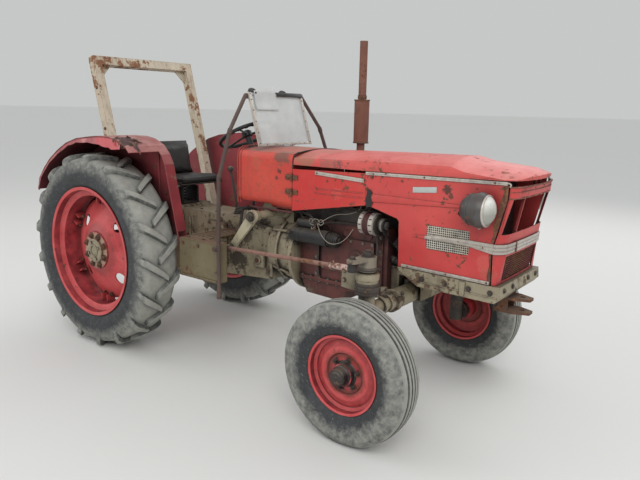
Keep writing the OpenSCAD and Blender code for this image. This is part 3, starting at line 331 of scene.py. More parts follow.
def tyreRubber(name, end):
    # dusty, sun-greyed natural rubber: dark where hands and mud leave it, pale with road dust on the tread
    coat = Finish(name, tyreLook["sideDark"], 0.82)
    radius, facing = coat.fromHub(*hubs[end])
    ragged, reach = coat.ragged(radius, 60, 0.10), tyreLook[end]
    coat.lay(coat.patches(90, 0.35, 0.65, 6, seedShift=2.0), "3b3d3f")
    pale = coat.mix(coat.patches(35, 0.3, 0.7, 7), tyreLook["side"], tyreLook["treadPale"])
    coat.lay(coat.band(ragged, *reach), pale, 0.75)
    tread = coat.mix(coat.patches(50, 0.3, 0.7, 7, seedShift=6.0), tyreLook["tread"], tyreLook["treadPale"])
    coat.lay(coat.band(facing, 0.55, 0.9), tread)
    # painted shade on the lugs' flanks, the faces that look neither outward nor sideways
    across = coat.math("ABSOLUTE", coat.node("SeparateXYZ", {0: coat.normal}).outputs["Y"], clamp=False)
    flankShade = coat.times(coat.band(across, 0.72, 0.45), coat.band(facing, 0.7, 0.4), coat.band(radius, *reach))
    coat.lay(flankShade, tyreLook["lugShade"], 0.85)
    mud = coat.patches(28, 0.50, 0.62, 8, 0.7, 3.0)
    coat.lay(mud, "96968a", coat.band(ragged, *reach, 0.05, 0.55))
    coat.lay(coat.patches(9, 0.62, 0.72, 3, seedShift=8.0), "b3b3a8", 0.35)
    # painted shade in the tyre's corners and between the lugs
    coat.lay(coat.occlusionShadeMask(40), "26282a", 0.75)
    return coat.done(0.5, 0.0015, coat.patches(7, 0.2, 0.8, 6))


def wheelPaint(name, end):
    # chalked red wheel enamel, browned by oil round the hub and chipped at the flange
    coat = Finish(name, "b83a3c", 0.5)
    radius, facing = coat.fromHub(*hubs[end])
    radius = coat.ragged(radius, 40, 0.05)
    coat.lay(coat.patches(160, 0.35, 0.65, 5), "cc5556")
    for inner, outer, soft, share, tone in rimRings[end]:
        rise = coat.band(radius, inner - soft, inner + soft)
        coat.lay(rise, tone, coat.band(radius, outer - soft, outer + soft, 1.0, 0.0), share)
    # painted shade in the well between flange and disc, on the faces that look in towards the hub
    wellShade = coat.band(facing, -0.5, -0.9)
    coat.lay(wellShade, "561d25", 0.75, coat.patches(90, 0.2, 0.6, 6, seedShift=9.0))
    worn = coat.times(coat.edgeMask(5), coat.patches(20, 0.42, 0.55, 6))
    coat.lay(coat.math("MAXIMUM", coat.patches(38, 0.60, 0.66, 9, 0.7, 1.7), worn), "5a3a30")
    # painted shade in the wheel's corners and under its brackets
    coat.lay(coat.occlusionShadeMask(60), "3a1214", 0.8)
    return coat.done(0.4, 0.001, coat.patches(12, 0.2, 0.8, 6))


def cloudySheet(name):
    # scratched polycarbonate gone milky outdoors: it scatters more than it shows through
    sheet = Finish(name, "d6d9d6", 0.35)
    sheet.lay(sheet.patches(180, 0.3, 0.7, 4), "c0c4c2")
    return sheet.done(IOR=1.58, Alpha=0.72)


def milkyGlass(name):
    # pressed lamp glass with dirt dried behind it: it reads as a soft white, not as clear
    glass = Finish(name, "c9c8c0", 0.22)
    glass.lay(glass.patches(60, 0.3, 0.7, 5), "e2e1db")
    # painted shade on the lower part of the glass, darker towards the bottom
    high = glass.node("SeparateXYZ", {0: glass.coords}).outputs["Z"]
    glass.lay(glass.band(high, 1.350, 1.285), "85867c", 0.80)
    glass.lay(glass.streakMask(30, 0.55, 0.7), "8d8170", 0.5)
    flutes = glass.node("TexWave", {"Scale": 24.0, "Vector": glass.coords}, bands_direction="Y")
    return glass.done(0.3, 0.001, flutes.outputs["Fac"], IOR=1.5)


print("materials")
finishes = {name: agedSurface(name, look) for name, look in looks.items()}
finishes["clear_sheet"] = cloudySheet("clear_sheet")
finishes["milky_glass"] = milkyGlass("milky_glass")
for end in ("rear", "front"):
    finishes[end + "_tyre"] = tyreRubber(end + "_rubber", end)
    finishes[end + "_rim"] = wheelPaint(end + "_rim_paint", end)

# CAD nodes whose finish is a worn kind of their slot's
nodeLooks = {"bonnet_top": "hood_red", "rear_doors": "door_red", "tank_cowl": "tank_red",
    "nose_mask": "nose_red", "entry_hoops": "hoop_steel", "exhaust_stack": "stack_rust",
    "knuckle_right": "axle_grease", "drop_arm_right": "arm_cream", "drop_arm_left": "arm_cream",
    "drag_link_right": "link_steel", "drag_link_left": "link_steel", "gearbox_housing": "gearbox_cream"}

for row in frame["record"]["subparts"]:
    name = row["node"]
    # the wheels' own finishes are named without a side
    kind = name.removesuffix("_left").removesuffix("_right")
    finish = finishes.get(nodeLooks.get(name), finishes.get(kind, finishes.get(row["material_slot"])))
    node = frame["nodes"][name]
    node.data.materials.clear()
    node.data.materials.append(finish)


# shapes, all placed in millimetres from the rear axle

ways = {"up": (0, 0, 1), "down": (0, 0, -1), "fore": (1, 0, 0), "aft": (-1, 0, 0), "left": (0, 1, 0),
    "right": (0, -1, 0), 1: (0, 1, 0), -1: (0, -1, 0)}


def unit(way):  # a named way, a side or a vector, as a direction of length 1
    return Vector(ways[way] if isinstance(way, (str, int)) else way).normalized()


def toFrame(vector):  # a length or direction in millimetres, in the frame's metres
    return Vector(vector) / 1000


def circle(count, radius, start=0.0):  # points round a circle, the first one start steps along it
    for k in range(count):
        angle = 2 * pi * (k + start) / count
        yield radius * cos(angle), radius * sin(angle)


def rect(x0, z0, x1, z1):
    return [(x0, z0), (x1, z0), (x1, z1), (x0, z1)]


def mirroredLine(half):  # from the right side across to the left, given the left half up to the middle
    return [(x, -y, z) for x, y, z in half] + [(x, y, z) for x, y, z in reversed(half) if y]


def fresh(made, kind):  # the new vertices or edges among what an operator made
    return [item for item in made["geom"] if isinstance(item, kind)]


def bevelEdges(bm, edges, width, segments):
    bmesh.ops.bevel(bm, geom=edges, offset=width, offset_type="OFFSET", affect="EDGES", segments=segments,
        profile=0.5, material=-1, clamp_overlap=True)


def creases(verts, degrees):  # edges where the faces at these vertices turn by more than that
    edges = {edge for vert in verts if vert.is_valid for edge in vert.link_edges}
    return [edge for edge in edges if len(edge.link_faces) == 2 and edge.calc_face_angle(0) > radians(degrees)]


def easeEdges(bm, verts, bevelMm):
    if bevelMm > 0:
        bevelEdges(bm, creases(verts, 30), bevelMm / 1000, 2)


def block(bm, low, high, bevelMm=0.0):  # box between two corners, its edges eased
    made = bmesh.ops.create_cube(bm, size=1.0)
    size = [abs(b - a) / 1000 for a, b in zip(low, high)]
    middle = [(a + b) / 2 for a, b in zip(low, high)]
    bmesh.ops.scale(bm, vec=size, verts=made["verts"])
    bmesh.ops.translate(bm, vec=at(*middle), verts=made["verts"])
    easeEdges(bm, made["verts"], bevelMm)


def bar(bm, start, end, radius, sides=20, endRadius=None):  # round bar or cone between two points
    first, last = at(*start), at(*end)
    axis = last - first
    made = bmesh.ops.create_cone(bm, cap_ends=True, segments=sides, radius1=radius / 1000,
        radius2=(radius if endRadius is None else endRadius) / 1000, depth=axis.length)
    turn = axis.to_track_quat("Z", "Y").to_matrix().to_4x4()
    bmesh.ops.transform(bm, matrix=Matrix.Translation((first + last) / 2) @ turn, verts=made["verts"])


def lathe(bm, profile, origin, axis, sides=40, closed=False):
    # profile: (distance along the axis, radius) pairs in millimetres, turned about the axis from origin
    out = unit(axis)
    side = out.orthogonal().normalized()
    base = at(*origin)
    verts = [bm.verts.new(base + toFrame(out * along + side * radius)) for along, radius in profile]
    edges = [bm.edges.new(pair) for pair in zip(verts, verts[1:])]
    if closed:
        edges.append(bm.edges.new((verts[-1], verts[0])))
    bmesh.ops.spin(bm, geom=verts + edges, cent=base, axis=out, dvec=(0, 0, 0), angle=2 * pi, steps=sides,
        use_merge=True, use_duplicate=False)
    poles = [vert for vert in bm.verts if vert.is_valid and (vert.co - base).cross(out).length < 0.00002]
    bmesh.ops.remove_doubles(bm, verts=poles, dist=0.00001)


def ring(bm, ends, radii, origin, axis, sides=40):  # square-cut collar between two distances and two radii
    (low, high), (inner, outer) = ends, radii
    lathe(bm, [(low, inner), (low, outer), (high, outer), (high, inner)], origin, axis, sides, closed=True)


def plate(bm, outline, thick, bevelMm=0.0):  # flat outline made as thick as the vector thick
    verts = [bm.verts.new(at(*point)) for point in outline]
    moved = fresh(bmesh.ops.extrude_face_region(bm, geom=[bm.faces.new(verts)]), bmesh.types.BMVert)
    bmesh.ops.translate(bm, vec=toFrame(thick), verts=moved)
    easeEdges(bm, verts + moved, bevelMm)


def sidePlate(bm, y, outline, thick, bevelMm=0.0):  # plate along the tractor, its outline as (x, z), thick in y
    plate(bm, [(x, y, z) for x, z in outline], (0, thick, 0), bevelMm)


def sweep(bm, section, stations):
    # closed section of (out, up) millimetres carried along stations of (point, outward, up)
    def placed(station):
        point, out, up = (Vector(part) for part in station)
        return [at(*(point + out * o + up * u)) for o, u in section]
    first = verts = [bm.verts.new(place) for place in placed(stations[0])]
    edges = [bm.edges.new((a, b)) for a, b in zip(verts, verts[1:] + verts[:1])]
    for station in stations[1:]:
        made = bmesh.ops.extrude_edge_only(bm, edges=edges)
        new = set(fresh(made, bmesh.types.BMVert))
        verts = [next(edge.other_vert(vert) for edge in vert.link_edges if edge.other_vert(vert) in new)
            for vert in verts]
        edges = [edge for edge in fresh(made, bmesh.types.BMEdge) if new.issuperset(edge.verts)]
        for vert, place in zip(verts, placed(station)):
            vert.co = place
    bm.faces.new(first)
    bm.faces.new(verts)


def solidMesh(holder):  # an object's mesh with its modifiers or its bevel worked in
    bpy.context.view_layer.update()
    return bpy.data.meshes.new_from_object(holder.evaluated_get(bpy.context.evaluated_depsgraph_get()))


def cable(bm, points, radius, sides=3, closed=False):  # round section along a smooth line through points
    data = bpy.data.curves.new("cableLine", "CURVE")
    data.dimensions = "3D"
    data.bevel_depth = radius / 1000
    data.bevel_resolution = sides
    data.resolution_u = 6
    data.use_fill_caps = not closed
    spline = data.splines.new("BEZIER")
    spline.bezier_points.add(len(points) - 1)
    for point, place in zip(spline.bezier_points, points):
        point.co = at(*place)
        point.handle_left_type = point.handle_right_type = "AUTO"
    spline.use_cyclic_u = closed
    holder = bpy.data.objects.new("cableLine", data)
    scene.collection.objects.link(holder)
    mesh = solidMesh(holder)
    bm.from_mesh(mesh)
    bpy.data.objects.remove(holder)
    bpy.data.curves.remove(data)
    bpy.data.meshes.remove(mesh)


def bolt(bm, place, out, across=19, high=8, washer=True):  # hexagon head on its washer
    out, base = unit(out), Vector(place)
    if washer:
        bar(bm, base - out, base + out * 2.5, across * 0.78, 12)
    bar(bm, base - out, base + out * high, across * 0.577, 6)


def screw(bm, place, out, radius=6, high=3):  # low domed head
    out, base = unit(out), Vector(place)
    bar(bm, base - out * 0.5, base + out * high, radius, 10, radius * 0.55)


def piece(bm, name, finish, slot, body="chassis", replaces=(), smoothAngle=32):
    bmesh.ops.recalc_face_normals(bm, faces=bm.faces)
    mesh = bpy.data.meshes.new(name)
    bm.to_mesh(mesh)
    bm.free()
    mesh.shade_smooth()
    mesh.set_sharp_from_angle(angle=radians(smoothAngle))
    made = bpy.data.objects.new(name, mesh)
    scene.collection.objects.link(made)
    mesh.materials.append(finishes[finish])
    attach(made, body)
    if replaces:
        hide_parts(*replaces)
    return made


waiting = []


def part(name, finish, slot=None, **more):  # an empty mesh, for its maker to fill
    waiting.append((bmesh.new(), name, finish, slot or finish, more))
    return waiting[-1][0]


def build(make, *values):  # runs a maker, then turns the meshes it filled into pieces
    make(*values)
    while waiting:
        bm, name, finish, slot, more = waiting.pop(0)
        piece(bm, name, finish, slot, **more)


# tyres and wheels

print("wheels")
rearTyre = {
    "lugs": 17, "phase": radians(8.5), "treadRadius": 700,
    "axleZ": stance["rearHubZ"] * 1000, "middleY": stance["rearTrack"] * 500,
    # half of the carcass: radius, distance from the tyre's middle
    "carcass": [(464, 122), (480, 128), (492, 137), (520, 149), (556, 155), (596, 156), (632, 152), (658, 142),
                (676, 122), (684, 92), (686.5, 50), (687, 0)],
    # lug stations from the middle outwards: top y, top r, base y, base r, shift back, half top, half base
    "stations": [(-38, 716, -38, 676, 66, 18, 30), (4, 717.5, 4, 676, 34, 21, 32),
                 (50, 718, 50, 676, 0, 23, 34),
                 (92, 717.5, 86, 675, -28, 24, 36), (124, 713, 116, 668, -50, 25, 37),
                 (145, 700, 134, 655, -65, 26, 38),
                 (154, 682, 143, 642, -72, 24, 34), (157, 655, 148, 628, -78, 18, 26),
                 (157, 620, 151, 606, -84, 11, 16), (156.5, 584, 153, 576, -89, 6, 9)],
}


def wheelPoint(side, radius, along, out):
    # along: length round the tread from a lug's own line, out: distance outwards from the tyre's middle
    angle = along / rearTyre["treadRadius"]
    return Vector((radius * sin(angle), side * (rearTyre["middleY"] + out),
        rearTyre["axleZ"] + radius * cos(angle)))


def addLug(bm, hub, side, half, turn):
    stations = rearTyre["stations"]
    verts = bmesh.ops.create_grid(bm, x_segments=len(stations) - 1, y_segments=3, size=1.0)["verts"]
    columns = sorted({round(vert.co.x, 4) for vert in verts})
    rows = sorted({round(vert.co.y, 4) for vert in verts})
    spinRound = Matrix.Translation(hub) @ Matrix.Rotation(turn, 4, "Y") @ Matrix.Translation(-hub)
    for vert in verts:
        topY, topR, baseY, baseR, shift, halfTop, halfBase = stations[columns.index(round(vert.co.x, 4))]
        row = rows.index(round(vert.co.y, 4))
        onTop = row in (1, 2)
        radius, out = (topR, topY) if onTop else (baseR, baseY)
        along = shift + (-1 if row < 2 else 1) * (halfTop if onTop else halfBase)
        vert.co = spinRound @ at(*wheelPoint(side, radius, along, half * out))
    return verts


def makeRearTyre(side, word):
    bm = part("rearTyre_" + word, "rear_tyre", "tyre_rubber", body="rear_wheel_" + word,
        replaces=("rear_tyre_" + word,), smoothAngle=38)
    place = (0, side * rearTyre["middleY"], rearTyre["axleZ"])
    hub = at(*place)
    half = [(y, r) for r, y in rearTyre["carcass"]]
    lathe(bm, half + [(-y, r) for y, r in reversed(half[:-1])], place, side, 128, closed=True)
    step = 2 * pi / rearTyre["lugs"]
    for half, lag in ((1, 0.0), (-1, 0.5)):
        for k in range(rearTyre["lugs"]):
            verts = addLug(bm, hub, side, half, (k + lag) * step + rearTyre["phase"])
            faces = {face for vert in verts for face in vert.link_faces}
            shell = bmesh.ops.extrude_face_region(bm, geom=list(faces))
            for vert in fresh(shell, bmesh.types.BMVert):  # the lug's root, inside the carcass
                spoke = Vector((vert.co.x - hub.x, 0, vert.co.z - hub.z))
                keep = 0.86 if spoke.length > 0.64 else 0.95
                spot = spoke.normalized() * min(spoke.length * 0.965, 0.655)
                vert.co = Vector((hub.x + spot.x, hub.y + (vert.co.y - hub.y) * keep, hub.z + spot.z))
            bevelEdges(bm, creases(verts, 24), 0.0035, 1)


for side, word in sides:
    build(makeRearTyre, side, word)

rearHub = {"boltCircle": 115, "bolts": 8, "face": 67, "clipRadius": 352, "clipBolts": 6}


def makeRearHub(side, word):
    nuts = part("rearHubNuts_" + word, "rusty_steel", body="rear_wheel_" + word)
    iron = part("rearHubPlate_" + word, "cream_paint", body="rear_wheel_" + word)
    y, z = side * rearTyre["middleY"], rearTyre["axleZ"]
    out = Vector((0, side, 0))
    for dx, dz in circle(rearHub["bolts"], rearHub["boltCircle"], 0.5):
        place = Vector((dx, y + side * rearHub["face"], z + dz))
        bolt(nuts, place, out, 32, 17)
        bar(nuts, place, place + out * 27, 8, 10)
    for c, s in circle(rearHub["clipBolts"], 1, 0.5):
        place = Vector((c * rearHub["clipRadius"], y - side * 18, z + s * rearHub["clipRadius"]))
        for across in (Vector((s, 0, -c)), Vector((-s, 0, c))):
            bolt(nuts, place + across * 38, across, 22, 9)
    # lifted edge of a bent cover strip round the hub, and its centre plug
    lathe(iron, [(81, 0), (84, 26), (84, 34), (89, 36), (89, 46), (85, 48), (85, 78), (80, 86)], (0, y, z), out,
        40)
    for dx, dz in circle(4, 64, 0.25):
        bolt(iron, (dx, y + side * 84, z + dz), out, 17, 9)
    lathe(iron, [(-20, 5.5), (24, 5.5), (26, 4.5), (40, 4.5), (40, 0)], (300, y + side * 66, z + 262),
        (0.2, side, 0.2), 10)


frontHub = {"bolts": 6, "boltCircle": 84}


def makeFrontHub(side, word):
    body = "front_wheel_" + word
    cap = part("frontHubCap_" + word, "black_paint", body=body)
    dull = part("frontHubCrown_" + word, "greasy_iron", body=body)
    nuts = part("frontWheelNuts_" + word, "greasy_iron", body=body)
    hub = Vector((stance["wheelbase"] * 1000, side * stance["frontTrack"] * 500, stance["frontHubZ"] * 1000))
    out = Vector((0, side, 0))
    # black pressed cap over the hub, its worn grey crown, and the wheel nuts on their triangular seats
    lathe(cap, [(20, 74), (30, 74), (34, 70), (36, 64), (60, 62), (64, 56), (70, 54), (74, 49.5), (104, 47),
        (109, 43), (110, 34)], hub, out, 40)
    lathe(dull, [(106, 41), (111, 40), (114, 33), (118, 30), (119, 12), (121, 10), (121, 0)], hub, out, 32)
    for dx, dz in circle(frontHub["bolts"], frontHub["boltCircle"], 0.25):
        place = hub + Vector((dx, side * 30, dz))
        bar(nuts, place, place + out * 7, 22, 3, 17)
        bolt(nuts, place + out * 6, out, 22, 14, washer=False)
        bar(nuts, place, place + out * 27, 6.5, 10)


for side, word in sides:
    build(makeRearHub, side, word)
    build(makeFrontHub, side, word)


# bonnet, panels and nose

print("nose")
noseTrim = {
    # anodised strips along the panel edges: x, lower z and upper z at each end
    "upper": [(2058, 1412, 1430), (2904, 1425, 1443)],
    "lower": [(2320, 907, 925), (2848, 898, 916)],
    "fallen": [(1684, 1383, 1405), (2046, 1364, 1387)],
    "straight": [(1690, 1396, 1413), (2044, 1400, 1417)],
    "screws": [(2110, 1421), (2439, 1427), (2839, 1433), (2361, 915), (2600, 912), (2834, 907)],
    # moulding round the nose: widening strip on the side, then a grooved band across the front
    "sideBand": [(2459, 1089), (2460, 1108), (2590, 1117), (2720, 1120), (2856, 1117), (2856, 1063),
                 (2720, 1086), (2590, 1090)],
    "bandPlan": [(2854, 296.5, 0.0), (2868, 296.5, 10.0), (2890, 276, 62.0), (2907, 243, 80.0),
                 (2912, 165, 88.0), (2914, 80, 90.0)],
    "bandZ": 1063,
}


def strip(bm, ends, side, y=295.2, thick=4.5):  # extruded strip with a rounded face
    (x0, low0, high0), (x1, low1, high1) = ends
    sidePlate(bm, side * y, [(x0, low0), (x1, low1), (x1, high1), (x0, high0)], side * thick, 1.6)
    ridge = 0.55
    mid0, mid1 = low0 + (high0 - low0) * ridge, low1 + (high1 - low1) * ridge
    bar(bm, (x0 + 3, side * (y + thick - 1), mid0), (x1 - 3, side * (y + thick - 1), mid1), 2.4, 8)


def makePanelTrim():
    strips = part("panelStrips", "trim_alloy", "cast_alloy")
    heads = part("panelScrews", "rusty_steel")
    for side in (-1, 1):
        strip(strips, noseTrim["upper"], side)
        strip(strips, noseTrim["lower"], side)
        for x, z in noseTrim["screws"]:
            screw(heads, (x, side * 300.2, z), side, 6, 3.5)
        # the end of the upper strip is curled out
        cable(strips, [(2900, side * 298, 1434), (2914, side * 301, 1436), (2922, side * 299, 1428),
            (2917, side * 297, 1418)], 4.0)
    strip(strips, noseTrim["fallen"], -1, 296.0)
    strip(strips, noseTrim["straight"], 1)
    screw(heads, (1700, -301, 1393), "right", 6, 3.5)
    for x in (1720, 2015):
        screw(heads, (x, 300.2, 1406), "left", 6, 3.5)


def makeNoseBand():
    bm = part("noseBand", "trim_alloy", "cast_alloy")
    tips = part("noseBandTips", "red_paint")
    heads = part("noseBandScrews", "rusty_steel")
    clip = part("noseBandClip", "rusty_steel")
    grooves = [(0, 0), (4.5, 1), (5, 14), (2.4, 16), (2.4, 19), (5, 21), (5, 33), (2.4, 35), (2.4, 38), (5, 40),
        (4.5, 53), (0, 54)]
    for side in (-1, 1):
        sidePlate(bm, side * 295.3, noseTrim["sideBand"], side * 4.5, 1.6)
        for lift in (-9, 9):
            bar(bm, (2500, side * 299.6, 1100 + lift * 0.35), (2850, side * 299.6, 1090 + lift), 1.8, 6)
        sidePlate(tips, side * 295.3, [(2387, 1093), (2387, 1103), (2462, 1108), (2462, 1089)], side * 3.5, 1.2)
        for x, z in ((2410, 1098), (2660, 1103), (2800, 1091)):
            screw(heads, (x, side * 299.0, z), side, 5, 3)
    plan = noseTrim["bandPlan"]
    path = [(x, -y, -turn) for x, y, turn in plan] + [(x, y, turn) for x, y, turn in reversed(plan)]
    stations = [((x, y, noseTrim["bandZ"]),
        (sin(radians(abs(turn))), (-1 if y < 0 else 1) * cos(radians(turn)), 0), (0.07, 0, 1))
        for x, y, turn in path]
    sweep(bm, grooves, stations)
    block(clip, (2915, -150, 1061), (2922, -132, 1119), 2)  # joint clip, a dark break in the band


def makePanelPressings():
    bm = part("panelSwages", "red_paint")
    plateMesh = part("blankPlate", "blank_plate", "cast_alloy")
    torn = part("tornSeal", "hose_rubber", "black_plastic")
    rust = part("panelRustEdge", "rusty_steel")
    for side in (-1, 1):
        y = side * 294.8
        # tapering swage along the panel and two fine ridges on the door behind it
        sidePlate(bm, y, [(2075, 1256), (2700, 1285), (2768, 1293), (2700, 1300), (2075, 1305)], side * 4.6,
            3.4)
        for z in (1272, 1300):
            sidePlate(bm, y, [(1690, z - 8), (2040, z), (2040, z + 6), (1690, z - 2)], side * 3.0, 1.3)
        # flaking edge where the panel meets the nose
        front = [(2851, 903), (2846, 1060)]
        upper = [(2849, 1122), (2865, 1166), (2883, 1255), (2907, 1345), (2910, 1436)]
        ragged = [(2884, 1436), (2889, 1390), (2876, 1345), (2868, 1300), (2862, 1255), (2846, 1215),
            (2851, 1166), (2838, 1122)]
        sidePlate(rust, side * 295.0, upper + ragged, side * 0.9)
        sidePlate(rust, side * 295.0, front + [(2834, 1060), (2841, 1000), (2832, 940), (2838, 903)],
            side * 0.9)
    # torn corner of the right door, with the black seal hanging in it
    sidePlate(torn, -298.6, [(2064, 1268), (2074, 1322), (2090, 1330), (2106, 1312), (2100, 1284), (2112, 1250),
        (2100, 1228), (2070, 1222)], -2)
    # small blank plate below the strip on the right, following its slope
    sidePlate(plateMesh, -295.0, [(2370, 1338), (2515, 1351), (2515, 1382), (2370, 1369)], -1.8, 0.7)
    for x, z in ((2378, 1354), (2507, 1366)):
        screw(plateMesh, (x, -296.6, z), "right", 3, 1.5)


sideWindow = {"x": (2474, 2718), "z": (1039, 1164), "pitch": 12.2, "wire": 1.95}


def makeSideWindows():
    wires = part("windowWires", "pale_wire", "cast_alloy")
    shadeSheets = part("noseShadeSheets", "black_paint")
    look = sideWindow
    for side in (-1, 1):
        count = int((look["x"][1] - look["x"][0]) / look["pitch"])
        for k in range(count + 1):
            x = look["x"][0] + 3 + k * look["pitch"]
            bar(wires, (x, side * 291.6, look["z"][0] - 3), (x, side * 291.6, look["z"][1] + 3), look["wire"],
                6)
        count = int((look["z"][1] - look["z"][0]) / look["pitch"])
        for k in range(count + 1):
            z = look["z"][0] + 2 + k * look["pitch"]
            bar(wires, (look["x"][0] - 3, side * 293.6, z), (look["x"][1] + 3, side * 293.6, z), look["wire"],
                6)
        # black plate inside the nose behind each side window: painted shade for the dark inside
        block(shadeSheets, (2460, side * 262, 1020), (2735, side * 259, 1182), 1)
    # black sheet across the nose in front of the radiator, painted shade for the dark inside seen through the
    # upper opening
    block(shadeSheets, (2737, -286, 925), (2740, 286, 1425), 1)
    for z in (1010, 1150, 1290):
        block(shadeSheets, (2740, -280, z), (2746, 280, z + 8), 1)


def makeNoseEdges():
    lid = part("bonnetLip", "hood_red", "red_paint", body="bonnet")
    skirt = part("noseSkirtBeads", "worn_red", "red_paint")
    # rolled lip of the lid
    half = [(2560, 297.5, 1443), (2700, 298, 1445), (2893, 298.5, 1450), (2930, 277, 1450.5), (2956, 174, 1450),
        (2973, 66, 1450)]
    cable(lid, mirroredLine(half), 2.8)
    # beads along the skirt under the lip and along the grille's upper edge
    for z, shift, radius in ((1417, 0, 4.0), (1392, -6, 2.4), (1358, -13, 3.6)):
        half = [(2920 + shift * 0.25, 294.5, z), (2930 + shift * 0.3, 291.5, z), (2955 + shift * 0.6, 246, z),
            (2970 + shift, 120, z), (2973 + shift, 0, z)]
        cable(skirt, mirroredLine(half), radius)
    for y in (-200, -70, 70, 200):
        screw(skirt, (2968 if abs(y) < 100 else 2957, y, 1405), (1, 0, 0.1), 5, 3)


headlamp = {"place": (2790, 386, 1300)}


def makeHeadlamps():
    glass = part("headlampGlass", "milky_glass", "lamp_paint")
    shrouds = part("headlampShrouds", "lamp_paint")
    rings = part("headlampRings", "trim_alloy", "lamp_paint")
    leads = part("headlampLeads", "hose_rubber", "black_plastic")
    x, y, z = headlamp["place"]
    for side in (-1, 1):
        origin = (x, side * y, z)
        lathe(glass, [(50, 0), (50, 76), (58, 75.5), (72, 65), (84, 48), (93, 26), (97, 11), (98.5, 0)], origin,
            "fore", 48)
        lathe(shrouds, [(8, 84), (8, 89.5), (16, 91.5), (28, 91), (52, 81), (52, 74), (24, 84.5)], origin,
            "fore", 48, closed=True)
        lathe(rings, [(50, 74), (50, 80), (55, 82), (60, 80.5), (62, 76), (58, 73)], origin, "fore", 48,
            closed=True)
        lathe(shrouds, [(-33, 79), (-33, 82), (-30, 83), (-27, 82), (-27, 80)], origin, "fore", 40, closed=True)
        bolt(rings, (x + 18, side * y, z - 91), "down", 10, 6)
        cable(leads, [(x - 80, side * (y - 6), z - 8), (x - 104, side * (y - 16), z - 26),
            (x - 108, side * (y - 50), z - 52), (x - 92, side * (y - 78), z - 66),
            (x - 84, side * (y - 92), z - 70)], 4)
        bolt(leads, (x - 15, side * 303, z), side, 24, 8)


def makeDoorFittings():
    hinges = part("doorHinges", "rusty_steel")
    seal = part("shellSeal", "hose_rubber", "black_plastic")
    for side in (-1, 1):
        for z in (1350, 1256):  # strap hinges across the joint of shell and door
            block(hinges, (1438, side * 289, z - 15), (1486, side * 297, z + 15), 2)
            block(hinges, (1504, side * 294, z - 15), (1545, side * 300, z + 15), 2)
            bar(hinges, (1494, side * 300, z - 24), (1494, side * 300, z + 24), 6.5, 12)
            for x in (1450, 1474, 1518, 1536):
                screw(hinges, (x, side * (297 if x < 1490 else 300), z + (6 if x in (1450, 1536) else -6)),
                    side, 5, 4)
        bolt(hinges, (2068, side * 296, 1330), side, 13, 6)
        bolt(hinges, (2100, side * 296, 1402), side, 13, 6)
    # rubber strip between the tank shell and the bonnet
    half = [(1496, 286, 1395), (1496, 284, 1440), (1496, 262, 1492), (1496, 200, 1506), (1496, 100, 1515),
        (1496, 0, 1517)]
    cable(seal, mirroredLine(half), 5.0)


def makeShellEdges():
    beads = part("shellBeads", "tank_red", "red_paint")
    flange = part("shellFlange", "worn_maroon", "red_paint")
    turn = [(290 - 71 * (1 - cos(radians(a))), 1452 + 71 * sin(radians(a))) for a in range(0, 91, 15)]
    half = [(290, 1142), (290, 1300)] + turn
    for x, radius in ((1034, 3.2), (1009, 4.5)):
        cable(beads, mirroredLine([(x, y, z) for y, z in half]), radius)
    for side in (-1, 1):
        sidePlate(flange, side * 284, rect(1120, 1116, 1490, 1129), side * 7, 1.5)
        for x in (1160, 1300, 1440):
            screw(flange, (x, side * 291, 1122), side, 5, 3)


for make in (makePanelTrim, makeShellEdges, makeNoseBand, makePanelPressings, makeSideWindows, makeNoseEdges,
        makeHeadlamps, makeDoorFittings):
    build(make)


# open engine bay

print("engine bay")
engineSide = {"y": 165, "ledge": 179}


def makeEngineSides():
    steel = part("engineBolts", "dull_steel", "engine_iron")
    plugs = part("engineCastings", "engine_paint")
    pipes = part("enginePipes", "engine_iron")
    e = engineSide
    for side in (-1, 1):
        for k in range(10):  # sump bolts under the ledge
            bolt(steel, (1500 + k * 70, side * (e["ledge"] - 7), 668), "down", 13, 7)
            bolt(steel, (1500 + k * 70, side * (e["ledge"] - 7), 690), "up", 13, 7)
        for k in range(6):  # head bolts
            bolt(steel, (1530 + k * 110, side * 138, 1180), "up", 19, 12)
        for k in range(3):  # core plugs with their turned rims
            lathe(plugs, [(-2, 30), (3, 30), (5, 27), (3, 23), (1, 0)], (1690 + k * 160, side * e["y"], 1022),
                side, 28)
        # seam where head and block meet
        block(pipes, (1498, side * 151, 1077), (2122, side * (e["y"] - 1), 1083), 1)
    for x, z in ((1672, 775), (1672, 940), (1715, 972), (1800, 972), (1890, 972), (1980, 972), (2048, 972),
            (2048, 870), (2048, 775), (1960, 772), (1860, 772), (1760, 772)):
        bolt(steel, (x, -e["ledge"], z), "right", 14, 7)
    for z in (720, 830, 940, 1020):
        for x in (1620, 2105):
            bolt(steel, (x, -e["ledge"], z), "right", 16, 8)
    # plain round boss, dipstick and oil pipe on the right
    lathe(plugs, [(0, 46), (8, 46), (12, 42), (12, 16), (24, 14), (24, 0)], (1930, -e["ledge"] + 2, 872),
        "right", 32)
    cable(pipes, [(1640, -174, 700), (1642, -192, 760), (1646, -196, 900), (1640, -186, 1010),
        (1636, -176, 1068)], 5)
    cable(pipes, [(2080, -172, 760), (2092, -196, 800), (2096, -200, 900), (2088, -188, 1000),
        (2070, -170, 1048)], 6)
    cable(pipes, [(1990, -182, 760), (1996, -196, 740), (2050, -198, 716), (2130, -190, 716)], 7)


